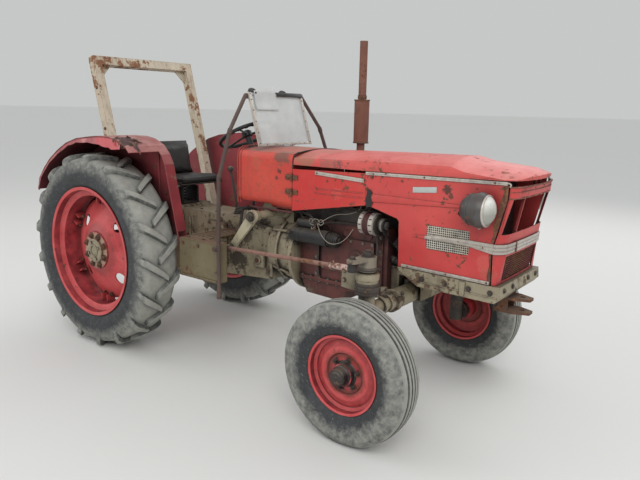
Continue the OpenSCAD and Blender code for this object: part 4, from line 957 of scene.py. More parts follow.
def makeHeadTop():
    nuts = part("rockerCoverNuts", "dull_steel", "engine_iron")
    cap = part("rockerCoverFittings", "black_paint")
    for x in (1600, 1810, 2020):
        bolt(nuts, (x, 0, 1285), "up", 22, 14)
    lathe(cap, [(-6, 32), (10, 32), (14, 38), (26, 38), (30, 30), (30, 0)], (1690, 0, 1285), "up", 24)
    cable(cap, [(1900, 60, 1282), (1900, 78, 1300), (1900, 128, 1300), (1900, 172, 1260), (1900, 180, 1185)],
        11)
    for side in (-1, 1):
        for k in range(7):
            bolt(nuts, (1560 + k * 84, side * 99, 1256), (0, side, 0.6), 11, 5)


starter = {"y": -235, "z": 975}


def makeStarter():
    body = part("starterFittings", "black_paint")
    steel = part("starterBolts", "dull_steel", "engine_iron")
    copper = part("starterTerminals", "rusty_steel")
    y, z = starter["y"], starter["z"]
    for x, radius in ((1500, 52), (1540, 51.5), (1752, 52.5)):
        ring(body, (x, x + 8), (radius - 3, radius), (0, y, z), "fore", 36)
    # ribbed end cap with its brush windows
    for k in range(4):
        x = 1766 + k * 14
        lathe(body, [(x, 40), (x + 1, 46.5), (x + 8, 46.5), (x + 9, 40)], (0, y, z), "fore", 36, closed=True)
    lathe(body, [(1826, 0), (1826, 40), (1836, 34), (1840, 18), (1846, 16), (1846, 0)], (0, y, z), "fore", 32)
    for dy, dz in circle(3, 31, 1 / 3):
        bolt(steel, (1829, y + dy, z + dz), "fore", 10, 7)
        bolt(steel, (1472, y + dy * 2.1, z + dz * 2.1), "fore", 19, 12)
    lathe(body, [(1638, 0), (1638, 31), (1650, 31), (1655, 24), (1655, 0)], (0, y + 6, z + 79), "fore", 28)
    for dy, dz in ((-12, 8), (12, -6), (2, 16)):
        bar(copper, (1654, y + 6 + dy, z + 79 + dz), (1676, y + 6 + dy, z + 79 + dz), 4.5, 8)
        bolt(copper, (1660, y + 6 + dy, z + 79 + dz), "fore", 12, 8)
    block(copper, (1644, y - 20, z + 44), (1662, y - 12, z + 84), 1)


alternator = {"y": -226, "z": 1115}


def makeAlternator():
    shells = part("alternatorShells", "trim_alloy", "cast_alloy")
    core = part("alternatorCore", "worn_maroon", "engine_paint")
    steel = part("alternatorPulley", "engine_iron")
    y, z = alternator["y"], alternator["z"]
    for x0, x1 in ((2006, 2038), (2076, 2112)):
        lathe(shells, [(x0, 40), (x0, 62), (x0 + 4, 69.5), (x1 - 4, 69.5), (x1, 62), (x1, 40)], (0, y, z),
            "fore", 44, closed=True)
        middle = (x0 + x1) / 2
        for dz, dy in circle(12, 69):  # cooling slots seen as dark bars round each shell
            bar(core, (middle - 9, y + dy, z + dz), (middle + 9, y + dy, z + dz), 3.4, 6)
    ring(core, (2040, 2074), (60, 68.5), (0, y, z), "fore", 44)
    for x in (2042, 2053, 2064):
        ring(core, (x, x + 5), (66, 70.5), (0, y, z), "fore", 44)
    lathe(steel, [(2118, 20), (2118, 60), (2121, 60), (2123, 30), (2136, 30), (2138, 42), (2142, 42),
        (2150, 33), (2158, 42), (2162, 42), (2164, 20)], (0, y, z), "fore", 40, closed=True)
    for k in range(9):  # fan fins behind the pulley
        angle = 2 * pi * k / 9
        a = (2114, y + 32 * cos(angle), z + 32 * sin(angle))
        b = (2120, y + 58 * cos(angle + 0.25), z + 58 * sin(angle + 0.25))
        bar(steel, a, b, 3.2, 6)
    bolt(steel, (2172, y, z), "fore", 24, 12)
    for dy, dz in circle(4, 58, 2 / 9):  # long bolts through both shells
        bar(steel, (2004, y + dy, z + dz), (2116, y + dy, z + dz), 4.5, 8)
    # slotted stay down to the block
    plate(steel, [(2108, -228, 1046), (2108, -212, 1040), (2108, -165, 985), (2108, -178, 975),
        (2108, -240, 1040)], (6, 0, 0), 1)
    bolt(steel, (2114, -232, 1045), "fore", 14, 8)


beltDrive = {"x": 2164, "crank": (0, 940, 64)}


def makeBelt():
    pulleys = part("crankPulley", "engine_iron")
    belt = part("fanBelt", "hose_rubber", "black_plastic")
    y, z, radius = beltDrive["crank"]
    lathe(pulleys, [(2150, 20), (2150, radius + 4), (2155, radius + 8), (2160, radius - 4), (2168, radius - 4),
        (2173, radius + 8), (2178, radius + 4), (2178, 0)], (0, y, z), "fore", 40)
    bolt(pulleys, (2178, y, z), "fore", 36, 14)
    # V belt round crank, pump and alternator
    around = [(-58, 912), (0, 876), (58, 912), (72, 985), (80, 1060), (66, 1130), (8, 1158), (-100, 1156),
        (-218, 1153), (-256, 1140), (-264, 1112), (-248, 1084), (-150, 1000)]
    cable(belt, [(beltDrive["x"], y, z) for y, z in around], 6.0, 1, closed=True)


def makeHoses():
    rubber = part("radiatorHoses", "hose_rubber", "black_plastic")
    clips = part("hoseClips", "dull_steel", "cast_alloy")
    fins = part("radiatorFins", "black_paint")
    top = [(2096, 70, 1196), (2140, 70, 1232), (2200, 66, 1300), (2262, 60, 1344), (2334, 60, 1362)]
    low = [(2150, -110, 895), (2196, -122, 880), (2250, -150, 882), (2300, -170, 918), (2334, -176, 942)]
    cable(rubber, top, 23, 5)
    cable(rubber, low, 19, 5)
    for a, b, radius in ((top[0], top[1], 26), (top[3], top[4], 26), (low[0], low[1], 22),
            (low[3], low[4], 22)):
        middle = (Vector(a) + Vector(b)) / 2
        axis = (Vector(b) - Vector(a)).normalized()
        ring(clips, (-6, 6), (radius - 4, radius - 1), middle, axis, 28)
    # radiator cap and core fins behind the fan
    lathe(clips, [(-2, 26), (6, 26), (10, 36), (18, 36), (22, 30), (22, 0)], (2378, -120, 1395), "up", 28)
    for k in range(26):
        z = 968 + k * 14
        block(fins, (2413, -232, z), (2419, 232, z + 5))


def makeWiring():
    pale = part("starterWires", "wire_skin", "cast_alloy")
    dark = part("engineLoom", "hose_rubber", "black_plastic")
    y = starter["y"]
    # loose pale tangle on top of the starter
    loops = [
        [(1676, y - 2, 1062), (1690, y - 18, 1086), (1668, y - 26, 1098), (1640, y - 22, 1082),
            (1628, y - 16, 1050), (1640, y - 28, 1030), (1660, y - 30, 1044)],
        [(1664, y, 1070), (1700, y - 12, 1094), (1722, y - 16, 1080), (1708, y - 20, 1062),
            (1684, y - 22, 1070)],
        [(1650, y - 10, 1070), (1620, y - 16, 1092), (1606, y - 12, 1076), (1626, y - 24, 1060),
            (1652, y - 26, 1056)],
        [(1672, y - 14, 1066), (1716, y - 42, 1022), (1762, y - 62, 990), (1806, y - 60, 966),
            (1852, y - 34, 968), (1882, y + 16, 1000), (1906, y + 50, 1054)],
        [(1690, y - 4, 1074), (1740, y + 4, 1108), (1800, y + 20, 1136), (1880, y + 34, 1148),
            (1950, y + 36, 1178), (1988, y + 20, 1228)],
    ]
    for points in loops:
        cable(pale, points, 1.6, 2)
    cable(dark, [(1660, y - 8, 1068), (1600, y - 6, 1112), (1520, y + 8, 1122), (1452, y + 30, 1118),
        (1408, y + 60, 1128)], 7.5)
    cable(dark, [(1672, y + 8, 1046), (1720, y + 20, 1072), (1820, y + 44, 1080), (1930, y + 48, 1086),
        (2006, y + 14, 1108)], 5)
    cable(dark, [(1540, y + 40, 1150), (1640, y + 50, 1166), (1780, y + 44, 1188), (1900, y + 46, 1172),
        (2020, y + 20, 1190), (2100, y + 4, 1240)], 6)
    cable(dark, [(1560, y - 2, 1060), (1540, y - 4, 1100), (1500, y + 4, 1136), (1470, y + 22, 1150)], 4)
    cable(dark, [(1700, y + 40, 1090), (1716, y + 34, 1126), (1760, y + 40, 1150), (1820, y + 50, 1148)], 5)
    for x in (1600, 1750, 1920):
        bolt(dark, (x, -172, 1088), "right", 14, 14)


def makePumpSide():
    pipes = part("injectionPipes", "dull_steel", "engine_iron")
    steel = part("pumpBolts", "dull_steel", "engine_iron")
    caps = part("filterCaps", "cast_alloy")
    for k, x in enumerate((1705, 1765, 1825, 1885)):
        target = 1575 + k * 150
        bolt(steel, (x, 225, 1008), "up", 19, 14)
        cable(pipes, [(x, 225, 1020), (x, 228, 1070), (x + (target - x) * 0.4, 226, 1120), (target, 206, 1186),
            (target, 160, 1206), (target, 128, 1196)], 4, 2)
        bolt(steel, (target, 126, 1180), "up", 22, 16)
    for x in (2000, 2096):
        lathe(caps, [(1036, 47), (1046, 47), (1052, 40), (1056, 14), (1066, 12), (1066, 0)], (x, 227, 0), "up",
            32)
        lathe(caps, [(874, 30), (880, 46), (886, 46), (886, 30)], (x, 227, 0), "up", 32, closed=True)
        for z in (930, 990):
            ring(caps, (z, z + 6), (42, 46), (x, 227, 0), "up", 32)
    cable(pipes, [(1940, 225, 900), (1962, 240, 880), (1990, 262, 900), (1990, 268, 980), (1996, 250, 1040)], 5,
        2)
    cable(pipes, [(2040, 226, 1052), (2050, 230, 1062), (2070, 226, 1052)], 5, 2)
    for x in (1700, 1800, 1900):
        bolt(steel, (x, 285, 890), "left", 13, 7)
        bolt(steel, (x, 285, 940), "left", 13, 7)
    lathe(steel, [(0, 44), (10, 44), (14, 36), (14, 0)], (1672, 225, 915), "aft", 32)


def makeExhaustDetail():
    bm = part("exhaustFittings", "rusty_steel")
    x, y = 1580, 352
    for z in (1556, 1846):  # folded end seams of the silencer
        lathe(bm, [(z - 5, 48), (z - 5, 54), (z, 56), (z + 5, 54), (z + 5, 48)], (x, y, 0), "up", 36,
            closed=True)
    ring(bm, (1856, 1880), (26, 31), (x, y, 0), "up", 28)
    bar(bm, (x - 36, y, 1868), (x + 36, y, 1868), 4.5, 8)
    for dx, dy in circle(3, 30):
        bar(bm, (x + dx, y + dy, 1300), (x + dx, y + dy, 1330), 5, 8)
    ring(bm, (1308, 1320), (27, 38), (x, y, 0), "up", 28)
    for k in range(4):  # manifold flanges
        px = 1590 + k * 140
        block(bm, (px - 34, 186, 1088), (px + 34, 200, 1168), 3)
        for z in (1098, 1158):
            bolt(bm, (px + (22 if z > 1100 else -22), 199, z), "left", 16, 9)
    bar(bm, (1545, 205, 1128), (2090, 205, 1128), 30, 20)


def makeGearboxDetail():
    bm = part("gearboxBolts", "rusty_steel")
    cream = part("gearboxRibs", "cream_paint")
    for dy, dz in circle(14, 254, 0.5):  # bolts round the bell flange, seen from behind it
        bolt(bm, (1440, dy, 820 + dz), "aft", 19, 12)
    for side in (-1, 1):
        for x, z in ((575, 620), (660, 622), (745, 628), (745, 770), (745, 925), (660, 925), (575, 925),
                (575, 770)):
            bolt(bm, (x, side * 162, z), side, 17, 9)
        # flanges between the housings and the ribs on the bell
        for x in (250, 1188):
            sidePlate(cream, side * 148, rect(x, 610, x + 24, 950), side * 16, 3)
            for z in (650, 740, 830, 920):
                bolt(bm, (x, side * 158, z), "aft", 17, 10)
        for z in (700, 960):
            bar(cream, (1230, side * 168, z), (1432, side * 214, z + (z - 820) * 0.12), 9, 10)
        block(cream, (330, side * 149, 625), (354, side * 158, 940), 5)  # cast stiffening rib
        block(cream, (1048, side * 149, 668), (1150, side * 186, 770), 9)  # boss for the clutch shaft
        lathe(cream, [(160, 0), (160, 30), (196, 27), (200, 20), (200, 0)], (1100, 0, 722), side, 32)
        bolt(bm, (1100, side * 200, 722), side, 24, 9)
    # steering box cover, side shaft collars and filler plug
    for dx, dz in ((-110, 40), (-20, 60), (60, 60), (90, -20), (60, -90), (-90, -90)):
        bolt(bm, (1200 + dx, -120, 1040 + dz * 0.6), "right", 15, 8)
        bolt(bm, (1200 + dx, 120, 1040 + dz * 0.6), "left", 15, 8)
    for side in (-1, 1):
        lathe(cream, [(122, 26), (122, 52), (134, 50), (150, 36), (150, 26)], (1290, 0, 1090), side, 36,
            closed=True)
        ring(cream, (392, 420), (25, 33), (1290, 0, 1090), side, 32)
    lathe(bm, [(0, 24), (8, 24), (8, 14), (22, 14), (22, 0)], (950, -60, 1000), "up", 20)
    for x, y in ((420, -100), (420, 100), (600, -110), (600, 110)):
        bolt(bm, (x, y, 1000), "up", 17, 9)


for make in (makeEngineSides, makeHeadTop, makeStarter, makeAlternator, makeBelt, makeHoses, makeWiring,
        makePumpSide, makeExhaustDetail, makeGearboxDetail):
    build(make)


# steering and front axle

print("steering")
steerX, steerY = 2280, 585  # the upright pins on which the front wheels turn
steering = {"dropPivot": Vector((1290, -441, 1090)), "dropBall": Vector((1105, -490, 862)),
    "rodFront": Vector((2258, -700, 961))}


def mirrored(vector, side):
    return Vector((vector.x, -side * vector.y, vector.z))


def makeSteering(side, word):
    pivot = mirrored(steering["dropPivot"], side)
    ball = mirrored(steering["dropBall"], side)
    tip = mirrored(steering["rodFront"], side)
    out = Vector((0, side, 0))
    arm = part("dropArmNuts_" + word, "greasy_iron", body="drop_arm_" + word)
    boots = part("linkBoots_" + word, "hose_rubber", "black_plastic", body="drag_link_" + word)
    link = part("linkSleeve_" + word, "pink_primer", "rusty_steel", body="drag_link_" + word)
    knuckle = part("kingpinNut_" + word, "greasy_iron", body="knuckle_" + word)
    bolt(arm, pivot + out * 19, out, 46, 22)
    bar(arm, pivot + out * 19, pivot + out * 50, 13, 16)
    bolt(arm, Vector((ball.x, side * 454, ball.z)), out, 30, 16)
    axis = (tip - ball).normalized()
    # rubber boots on the ball studs and the adjusting sleeve behind the front one
    lathe(boots, [(20, 20), (24, 23), (28, 21), (32, 22), (36, 13), (30, 9), (20, 9)], tip, "up", 28,
        closed=True)
    lathe(boots, [(18, 12), (20, 23), (25, 25), (30, 22), (34, 12)], ball, out, 28, closed=True)
    start = tip - axis * 168
    bar(link, start, start + axis * 146, 17.5, 20)
    ring(link, (-8, 8), (16, 22), start + axis * 16, axis, 24)
    bar(link, start + axis * 16 + Vector((0, -16, 23)), start + axis * 16 + Vector((0, 16, 23)), 4.5, 8)
    for place in (ball, tip):
        lathe(boots, [(-20, 12), (-18, 24), (18, 24), (20, 12)], place, "up", 28, closed=True)
    bolt(link, ball + out * 22, out, 22, 14)
    pin = Vector((steerX, side * steerY, 1012))
    bolt(knuckle, pin, "up", 52, 24)
    bar(knuckle, pin, pin + Vector((0, 0, 34)), 15, 16)
    bar(knuckle, pin + Vector((-24, 0, 27)), pin + Vector((24, 0, 27)), 3, 6)
    block(knuckle, (2256, side * steerY - 6, 1011), (2304, side * steerY + 6, 1019), 1)
    bolt(knuckle, tip + Vector((0, 0, 51)), "up", 24, 14)
    lathe(knuckle, [(0, 48), (0, 52), (8, 54), (14, 50), (18, 48)], (steerX, side * steerY, 938), "up", 32,
        closed=True)
    # hub seal behind the wheel and the drum-like flange on the stub
    bar(knuckle, (steerX, side * 640, 400), (steerX, side * 672, 400), 58, 32, 50)
    bolt(knuckle, (2252, side * steerY, 470), "aft", 20, 10)


def makeAxleDetail():
    cream = part("axleClamps", "cream_paint")
    iron = part("axleBolts", "greasy_iron")
    plates = part("pivotPlates", "cream_paint")
    for side in (-1, 1):
        # banded clamp round the pivot housing and its grease collar
        lathe(iron, [(802, 46), (802, 64), (812, 66), (814, 62), (822, 62), (824, 67), (846, 67), (848, 62),
            (856, 62), (858, 66), (868, 64), (868, 58)], (steerX, side * steerY, 0), "up", 40, closed=True)
        for dx in (-30, 30):
            bolt(iron, (steerX + dx, side * 643, 835), side, 17, 8)
        lathe(cream, [(884, 60), (884, 64), (894, 66), (916, 66), (922, 62), (922, 58)],
            (steerX, side * steerY, 0), "up", 40, closed=True)
        lathe(cream, [(655, 44), (655, 50), (676, 52), (680, 46)], (steerX, side * steerY, 0), "up", 36,
            closed=True)
        # split clamps on the axle tube with their pinch bolts
        for y, half, radius in ((318, 20, 66), (453, 9, 57)):
            ring(cream, (y - half, y + half), (50, radius), (steerX, 0, 700), side, 40)
        for dx in (-52, 52):
            block(cream, (steerX + dx - 14, side * 318 - 18, 742), (steerX + dx + 14, side * 318 + 18, 770), 3)
        bar(iron, (2214, side * 318, 757), (2346, side * 318, 757), 7, 10)
        bolt(iron, (2346, side * 318, 757), "fore", 19, 12)
        bolt(iron, (2214, side * 318, 757), "aft", 19, 12)
        for y in (360, 400):
            bolt(iron, (steerX, side * y, 741 + (11 if y < 390 else 1)), "up", 24, 14)
        # stiffening plate beside each pivot
        sidePlate(plates, side * 567, [(2100, 806), (2186, 800), (2232, 812), (2232, 902), (2186, 932),
            (2104, 926)], side * 9, 2)
        bolt(plates, (2122, side * 576, 850), side, 17, 9)
        bolt(plates, (2122, side * 576, 905), side, 17, 9)
    for dx in (-1, 1):
        bolt(iron, (steerX + dx * 75, 0, 718), (dx, 0, 0), 46, 18)


def makeBolsterDetail():
    bm = part("bolsterBolts", "greasy_iron", "rusty_steel")
    ribs = part("bolsterRibs", "cream_paint")
    for side in (-1, 1):
        for x in (2460, 2600, 2740, 2860):
            bolt(bm, (x, side * 303, 858), side, 19, 9)
        sidePlate(ribs, side * 301, [(2690, 812), (2716, 812), (2722, 893), (2684, 893)], side * 8, 3)
        sidePlate(ribs, side * 301, [(2440, 838), (2900, 830), (2900, 838), (2430, 847)], side * 5, 2)
        for z in (725, 755):
            bolt(bm, (2800, side * 60, z), side, 17, 9)
    for y in (-240, -120, 120, 240):
        bolt(bm, (2911, y, 866), "fore", 19, 9)
    for y in (-30, 30):
        bolt(bm, (2830, y, 784), "up", 17, 9)


for side, word in sides:
    build(makeSteering, side, word)
for make in (makeAxleDetail, makeBolsterDetail):
    build(make)


# driver's place

print("driver's place")
screen = {"foot": (1190, 1523), "lean": radians(-16.4), "high": 372, "half": 275}


def screenPoint(out, y, up):  # point on the leaning windscreen: out from its face, across, up along it
    turn = screen["lean"]
    return Vector((screen["foot"][0] + out * cos(turn) + up * sin(turn), y,
        screen["foot"][1] - out * sin(turn) + up * cos(turn)))


def onScreen(bm, outline, out, thick, bevelMm=0.6):
    face = screenPoint(1, 0, 0) - screenPoint(0, 0, 0)
    plate(bm, [screenPoint(out, y, up) for y, up in outline], face * thick, bevelMm)


def makeWindscreen():
    strips = part("screenStrips", "trim_alloy", "cast_alloy")
    rivets = part("screenRivets", "hose_rubber", "rusty_steel")
    black = part("screenRail", "black_paint")
    film = part("screenFilm", "clear_sheet")
    out = screenPoint(1, 0, 0) - screenPoint(0, 0, 0)
    half, high = screen["half"], screen["high"]
    for side in (-1, 1):
        onScreen(strips, [(side * (half + 1), 4), (side * (half + 1), high + 2), (side * (half - 24), high + 2),
            (side * (half - 24), 4)], 9.2, 2.2)
        onScreen(strips, [(side * (half + 1), 4), (side * (half + 1), high), (side * (half + 4), high),
            (side * (half + 4), 4)], -2, 13)
        for up in (22, 96, 172, 248, 320, 360):
            screw(rivets, screenPoint(11.2, side * (half - 12), up), out, 5, 3)
    onScreen(strips, rect(-half, 4, half, 22), 9.2, 1.6)
    for y in (-200, -100, 0, 100, 200):
        screw(rivets, screenPoint(10.6, y, 13), out, 4, 2.4)
    # black rail with its rubber on the upper edge, left of the middle
    onScreen(black, rect(-4, 345, half - 2, 369), 11, 12, 3)
    onScreen(black, rect(-half, 368, half, 376), -2, 14, 2)
    for y, shift in ((-218, 14), (88, 6)):  # wiper motors
        base = screenPoint(-16, y, 366 + shift)
        bar(black, base - Vector((14, 0, 0)), base + Vector((26, 0, 4)), 17, 20)
        lathe(black, [(0, 24), (12, 24), (22, 18), (27, 8), (27, 0)], base, "up", 24)
        bar(black, screenPoint(12, y, 368), screenPoint(24, y, 362), 6, 10)
    # stiff plastic offcut fixed over the top corner
    bmesh.ops.create_grid(film, x_segments=12, y_segments=10, size=0.5)
    for vert in film.verts:
        across, up = vert.co.x + 0.5, vert.co.y + 0.5
        y = -236 + across * 224
        rise = 252 + up * (128 + 30 * across)
        wave = 3.0 * sin(across * 11) * up + 2.0 * cos(up * 7)
        vert.co = at(*screenPoint(15.5 + wave, y + 10 * up * (0.5 - across), rise))
    bmesh.ops.solidify(film, geom=film.faces[:], thickness=0.0015)
    bmesh.ops.recalc_face_normals(film, faces=film.faces)


def makeHoopDetail():
    bm = part("hoopClamps", "hoop_steel", "rusty_steel")
    for side in (-1, 1):
        for a, b in (((1168, 628, 560), (1160, 622, 905)), ((1146, 600, 1330), (1120, 470, 1640))):
            first = Vector((a[0], side * a[1], a[2]))
            last = Vector((b[0], side * b[1], b[2]))
            axis = (last - first).normalized()
            for reach in (6, (last - first).length - 30):
                ring(bm, (-14, 14), (12, 16), first + axis * (reach + 14), axis, 20)
        for z in (720, 880):
            plate(bm, [(1128, side * 612, z), (1172, side * 612, z), (1172, side * 640, z),
                (1128, side * 640, z)], (0, 0, 5), 1)
        bolt(bm, (1148, side * 640, 880), side, 17, 9)
        bar(bm, (1168, side * 628, 552), (1168, side * 628, 562), 17, 16)
    cable(bm, [(1083, -290, 1862), (1078, -150, 1872), (1076, 0, 1874), (1078, 150, 1872), (1083, 290, 1862)],
        11)


def makeDash():
    rims = part("gaugeRims", "trim_alloy", "cast_alloy")
    faces = part("gaugeFaces", "black_plastic")
    needles = part("gaugeTicks", "wire_skin", "cast_alloy")
    out = Vector((-0.985, 0, -0.17))
    spots = [(-135, 1330, 42), (135, 1330, 42), (-100, 1252, 22), (100, 1252, 22), (-165, 1252, 22),
        (165, 1252, 22)]
    for y, z, radius in spots:
        base = Vector((960 - (z - 1220) * 30 / 175, y, z))
        lathe(rims, [(-2, radius - 5), (-2, radius), (7, radius), (9, radius - 3), (6, radius - 6)], base, out,
            32, closed=True)
        lathe(faces, [(-2, 0), (-2, radius - 4), (3, radius - 5), (3.5, 0)], base, out, 32)
        side = out.cross(Vector((0, 0, 1))).normalized()
        up = side.cross(out).normalized()
        for k in range(9):  # plain ticks
            angle = radians(-130 + k * 32.5)
            ray = side * sin(angle) + up * cos(angle)
            bar(needles, base + out * 4 + ray * (radius - 13), base + out * 4 + ray * (radius - 8), 1.1, 6)
        ray = side * sin(radians(-70)) + up * cos(radians(-70))
        bar(needles, base + out * 5, base + out * 5 + ray * (radius - 14), 1.4, 6)
    for y in (-30, 0, 30):
        base = Vector((905, y, 1180))
        lathe(rims, [(0, 9), (10, 9), (14, 12), (22, 11), (22, 0)], base, "aft", 20)


def makeControls():
    rubber = part("leverBoots", "hose_rubber", "black_plastic")
    pads = part("pedalPads", "hose_rubber", "black_plastic")
    cap = part("steeringWheelCap", "black_plastic", body="steering_wheel")
    for x, y in ((760, -40), (840, 60)):
        for k in range(4):  # bellows
            radius = 36 - k * 6
            lathe(rubber, [(k * 12, radius - 8), (k * 12 + 2, radius), (k * 12 + 9, radius - 2),
                (k * 12 + 12, radius - 10)], (x, y, 1001), (-0.12, -0.04, 1), 28, closed=True)
    for y in (-270, -200, 230):
        block(pads, (1005, y - 30, 1093), (1061, y + 30, 1101), 3)
        for k in range(5):
            block(pads, (1010 + k * 11, y - 26, 1100), (1015 + k * 11, y + 26, 1104.5), 1)
    hub = Vector((815, 0, 1585))
    axis = Vector((-sin(radians(28)), 0, cos(radians(28))))
    lathe(cap, [(18, 30), (24, 30), (30, 24), (33, 10), (33, 0)], hub, axis, 32)
    left = Vector((0, 1, 0))
    for c, s in circle(24, 1):  # finger grips under the rim
        ray = axis.cross(left).normalized() * c + left * s
        tangent = axis.cross(ray)
        spot = hub + ray * 203 - axis * 9
        bar(cap, spot - tangent * 12, spot + tangent * 12, 7.5, 8)


wingLine = [(-615, 1128), (-585, 1215), (-505, 1300), (-415, 1375), (-300, 1445), (-180, 1503), (-40, 1542),
    (100, 1558), (200, 1568), (340, 1568), (440, 1552), (500, 1528)]


# turned-down lip along a wing's outer edge: x, and how far it hangs down
wingLip = {
    "whole": [(-612, 14), (-505, 24), (-300, 28), (-156, 26), (-40, 28), (100, 28), (340, 28), (440, 26),
        (520, 16)],
    "bent": [(-612, 14), (-560, 20), (-505, 26), (-430, 22), (-360, 29), (-300, 27), (-220, 32), (-156, 24),
        (-100, 31), (-49, 27), (20, 36), (96, 38), (160, 50), (233, 57), (270, 68), (312, 72), (345, 69),
        (372, 78), (400, 73), (440, 62), (470, 50), (478, 18)],
}


def makeWingLips():
    bm = part("wingLips", "lip_paint", "wing_paint")
    for side, shape in ((-1, "bent"), (1, "whole")):
        stations = []
        for x, drop in wingLip[shape]:
            (x0, z0), (x1, z1) = next(pair for pair in zip(wingLine, wingLine[1:]) if x <= pair[1][0]
                or pair[1] == wingLine[-1])
            top = z0 + (z1 - z0) * (x - x0) / (x1 - x0) - 1
            stations.append(((x, side * 848.5, top), drop))
        for (start, dropA), (stop, dropB) in zip(stations, stations[1:]):
            plate(bm, [start, stop, (stop[0], stop[1], stop[2] - dropB),
                (start[0], start[1], start[2] - dropA)], (0, side * 1.5, 0))


def makeWingDetail():
    edge = part("wingEdges", "wing_paint")
    ribs = part("wingRibs", "wing_paint")
    torn = part("wingTear", "hole_shade", "wing_paint")
    flap = part("wingTearFlaps", "rusty_steel", "wing_paint")
    for side in (-1, 1):
        cable(edge, [(x + (6 if x < 0 else 0), side * 846, z - 7) for x, z in wingLine], 5.5)
        # pressed stiffeners on the inner wall and the turned front edge
        for low, high in (((470, 1010), (470, 1500)), ((610, 960), (560, 1440))):
            sidePlate(ribs, side * 532, [(low[0] - 11, low[1]), (low[0] + 11, low[1]), (high[0] + 11, high[1]),
                (high[0] - 11, high[1])], side * 9, 4)
        for x, z in ((-350, 960), (-150, 930), (150, 930), (350, 960), (-420, 1150), (540, 1180)):
            bolt(ribs, (x, side * 533, z), side, 19, 8)
            bolt(ribs, (x, side * 528, z), -side, 19, 8)
        cable(edge, [(626, side * 604, 1384), (656, side * 606, 1262), (690, side * 606, 1128),
            (726, side * 606, 980), (748, side * 604, 880)], 4.5)
    # torn, rusted-through place on the right wing's sloping top corner, shown as a dark sheet of painted shade
    # where the hole is, its edges lifted
    wingNode = frame["nodes"]["wings"]
    skin = BVHTree.FromObject(wingNode, bpy.context.evaluated_depsgraph_get())

    def onWing(x, y, lift=0.8):  # millimetre point lying lift above the wing's top
        hit = skin.ray_cast(at(x, max(y, -848), 2000), Vector((0, 0, -1)))[0]
        return (x, y, (hit.z * 1000 if hit else 1568 - max(0, x - 340) * 0.464) + lift)

    # laid as a fine grid so that it follows the curve, cut to a ragged outline
    bmesh.ops.create_grid(torn, x_segments=26, y_segments=24, size=0.5)

    def outside(face):
        spot = face.calc_center_median()
        angle, reach = atan2(spot.y, spot.x), 2 * hypot(spot.x, spot.y)
        return reach > 0.72 + 0.16 * sin(5 * angle + 1) + 0.10 * sin(11 * angle)

    bmesh.ops.delete(torn, geom=[face for face in torn.faces if outside(face)], context="FACES")
    for vert in torn.verts:
        vert.co = at(*onWing(462 + vert.co.x * 225, -776 + vert.co.y * 196, 0.6))
    bmesh.ops.solidify(torn, geom=torn.faces[:], thickness=-0.0012)
    bmesh.ops.recalc_face_normals(torn, faces=torn.faces)
    for a, b, c in (((366, -716), (412, -712), (394, -742)), ((440, -690), (488, -704), (462, -738)),
            ((500, -744), (548, -778), (508, -790)), ((356, -800), (404, -838), (390, -784))):
        plate(flap, [onWing(*a), onWing(*b), onWing(*c, 16)], (1, 2, 2.5), 0.8)
    # the turned-down lip hangs in rags beside the hole, made in the same dark finish as the hole's painted
    # shade
    for x0, x1, drop in ((392, 420, 26), (424, 436, 44), (446, 470, 18), (492, 508, 36), (514, 528, 22)):
        top0, top1 = onWing(x0, -850)[2], onWing(x1, -850)[2]
        sidePlate(torn, -850.5, [(x0, top0), (x1, top1), (x1 - 3, top1 - drop * 0.8), (x0 + 5, top0 - drop)],
            -1.6, 0.5)


def makeStepDetail():
    bm = part("stepBolts", "rusty_steel")
    lip = part("stepLips", "step_paint")
    for side in (-1, 1):
        for x in (800, 950, 1100):
            bolt(bm, (x, side * 610, 870), side, 17, 8)
            bolt(bm, (x, side * 560, 905), "up", 17, 8)
        cable(lip, [(766, side * 607, 901), (900, side * 608, 903), (1010, side * 608, 900),
            (1132, side * 607, 902)], 5.5)
        for x in (950, 908, 866, 824, 782):  # raised treads on the foot plate
            block(lip, (x, side * 180, 904), (x + 8, side * 500, 908.5), 1.5)
        sidePlate(lip, side * 611, rect(770, 648, 1128, 660), side * 4, 1)


seat = {"half": 208, "cap": 0.012, "pressure": 4.0}


def puffed(bm, name, voxelMm=7):
    # padded form: remeshed, blown up a little as sewn cloth, and smoothed once
    mesh = bpy.data.meshes.new(name)
    bm.to_mesh(mesh)
    bm.free()
    holder = bpy.data.objects.new(name, mesh)
    scene.collection.objects.link(holder)
    remesh = holder.modifiers.new("remesh", "REMESH")
    remesh.mode = "VOXEL"
    remesh.voxel_size = voxelMm / 1000
    even = solidMesh(holder)
    holder.modifiers.clear()
    holder.data = even
    start = [vert.co.copy() for vert in even.vertices]
    cloth = holder.modifiers.new("cloth", "CLOTH")
    cloth.settings.use_pressure = True
    cloth.settings.uniform_pressure_force = seat["pressure"]
    cloth.settings.effector_weights.gravity = 0.0
    for number in range(1, 21):
        scene.frame_set(number)
    ready = bpy.data.meshes.new_from_object(holder.evaluated_get(bpy.context.evaluated_depsgraph_get()))
    scene.frame_set(1)
    holder.modifiers.clear()
    holder.data = ready
    for vert, first in zip(ready.vertices, start):
        move = vert.co - first
        if move.length > seat["cap"]:
            vert.co = first + move.normalized() * seat["cap"]
    out = bmesh.new()
    out.from_mesh(holder.data)
    bpy.data.objects.remove(holder)
    for _ in range(2):
        bmesh.ops.smooth_vert(out, verts=out.verts, factor=0.5, use_axis_x=True, use_axis_y=True,
            use_axis_z=True)
    return out


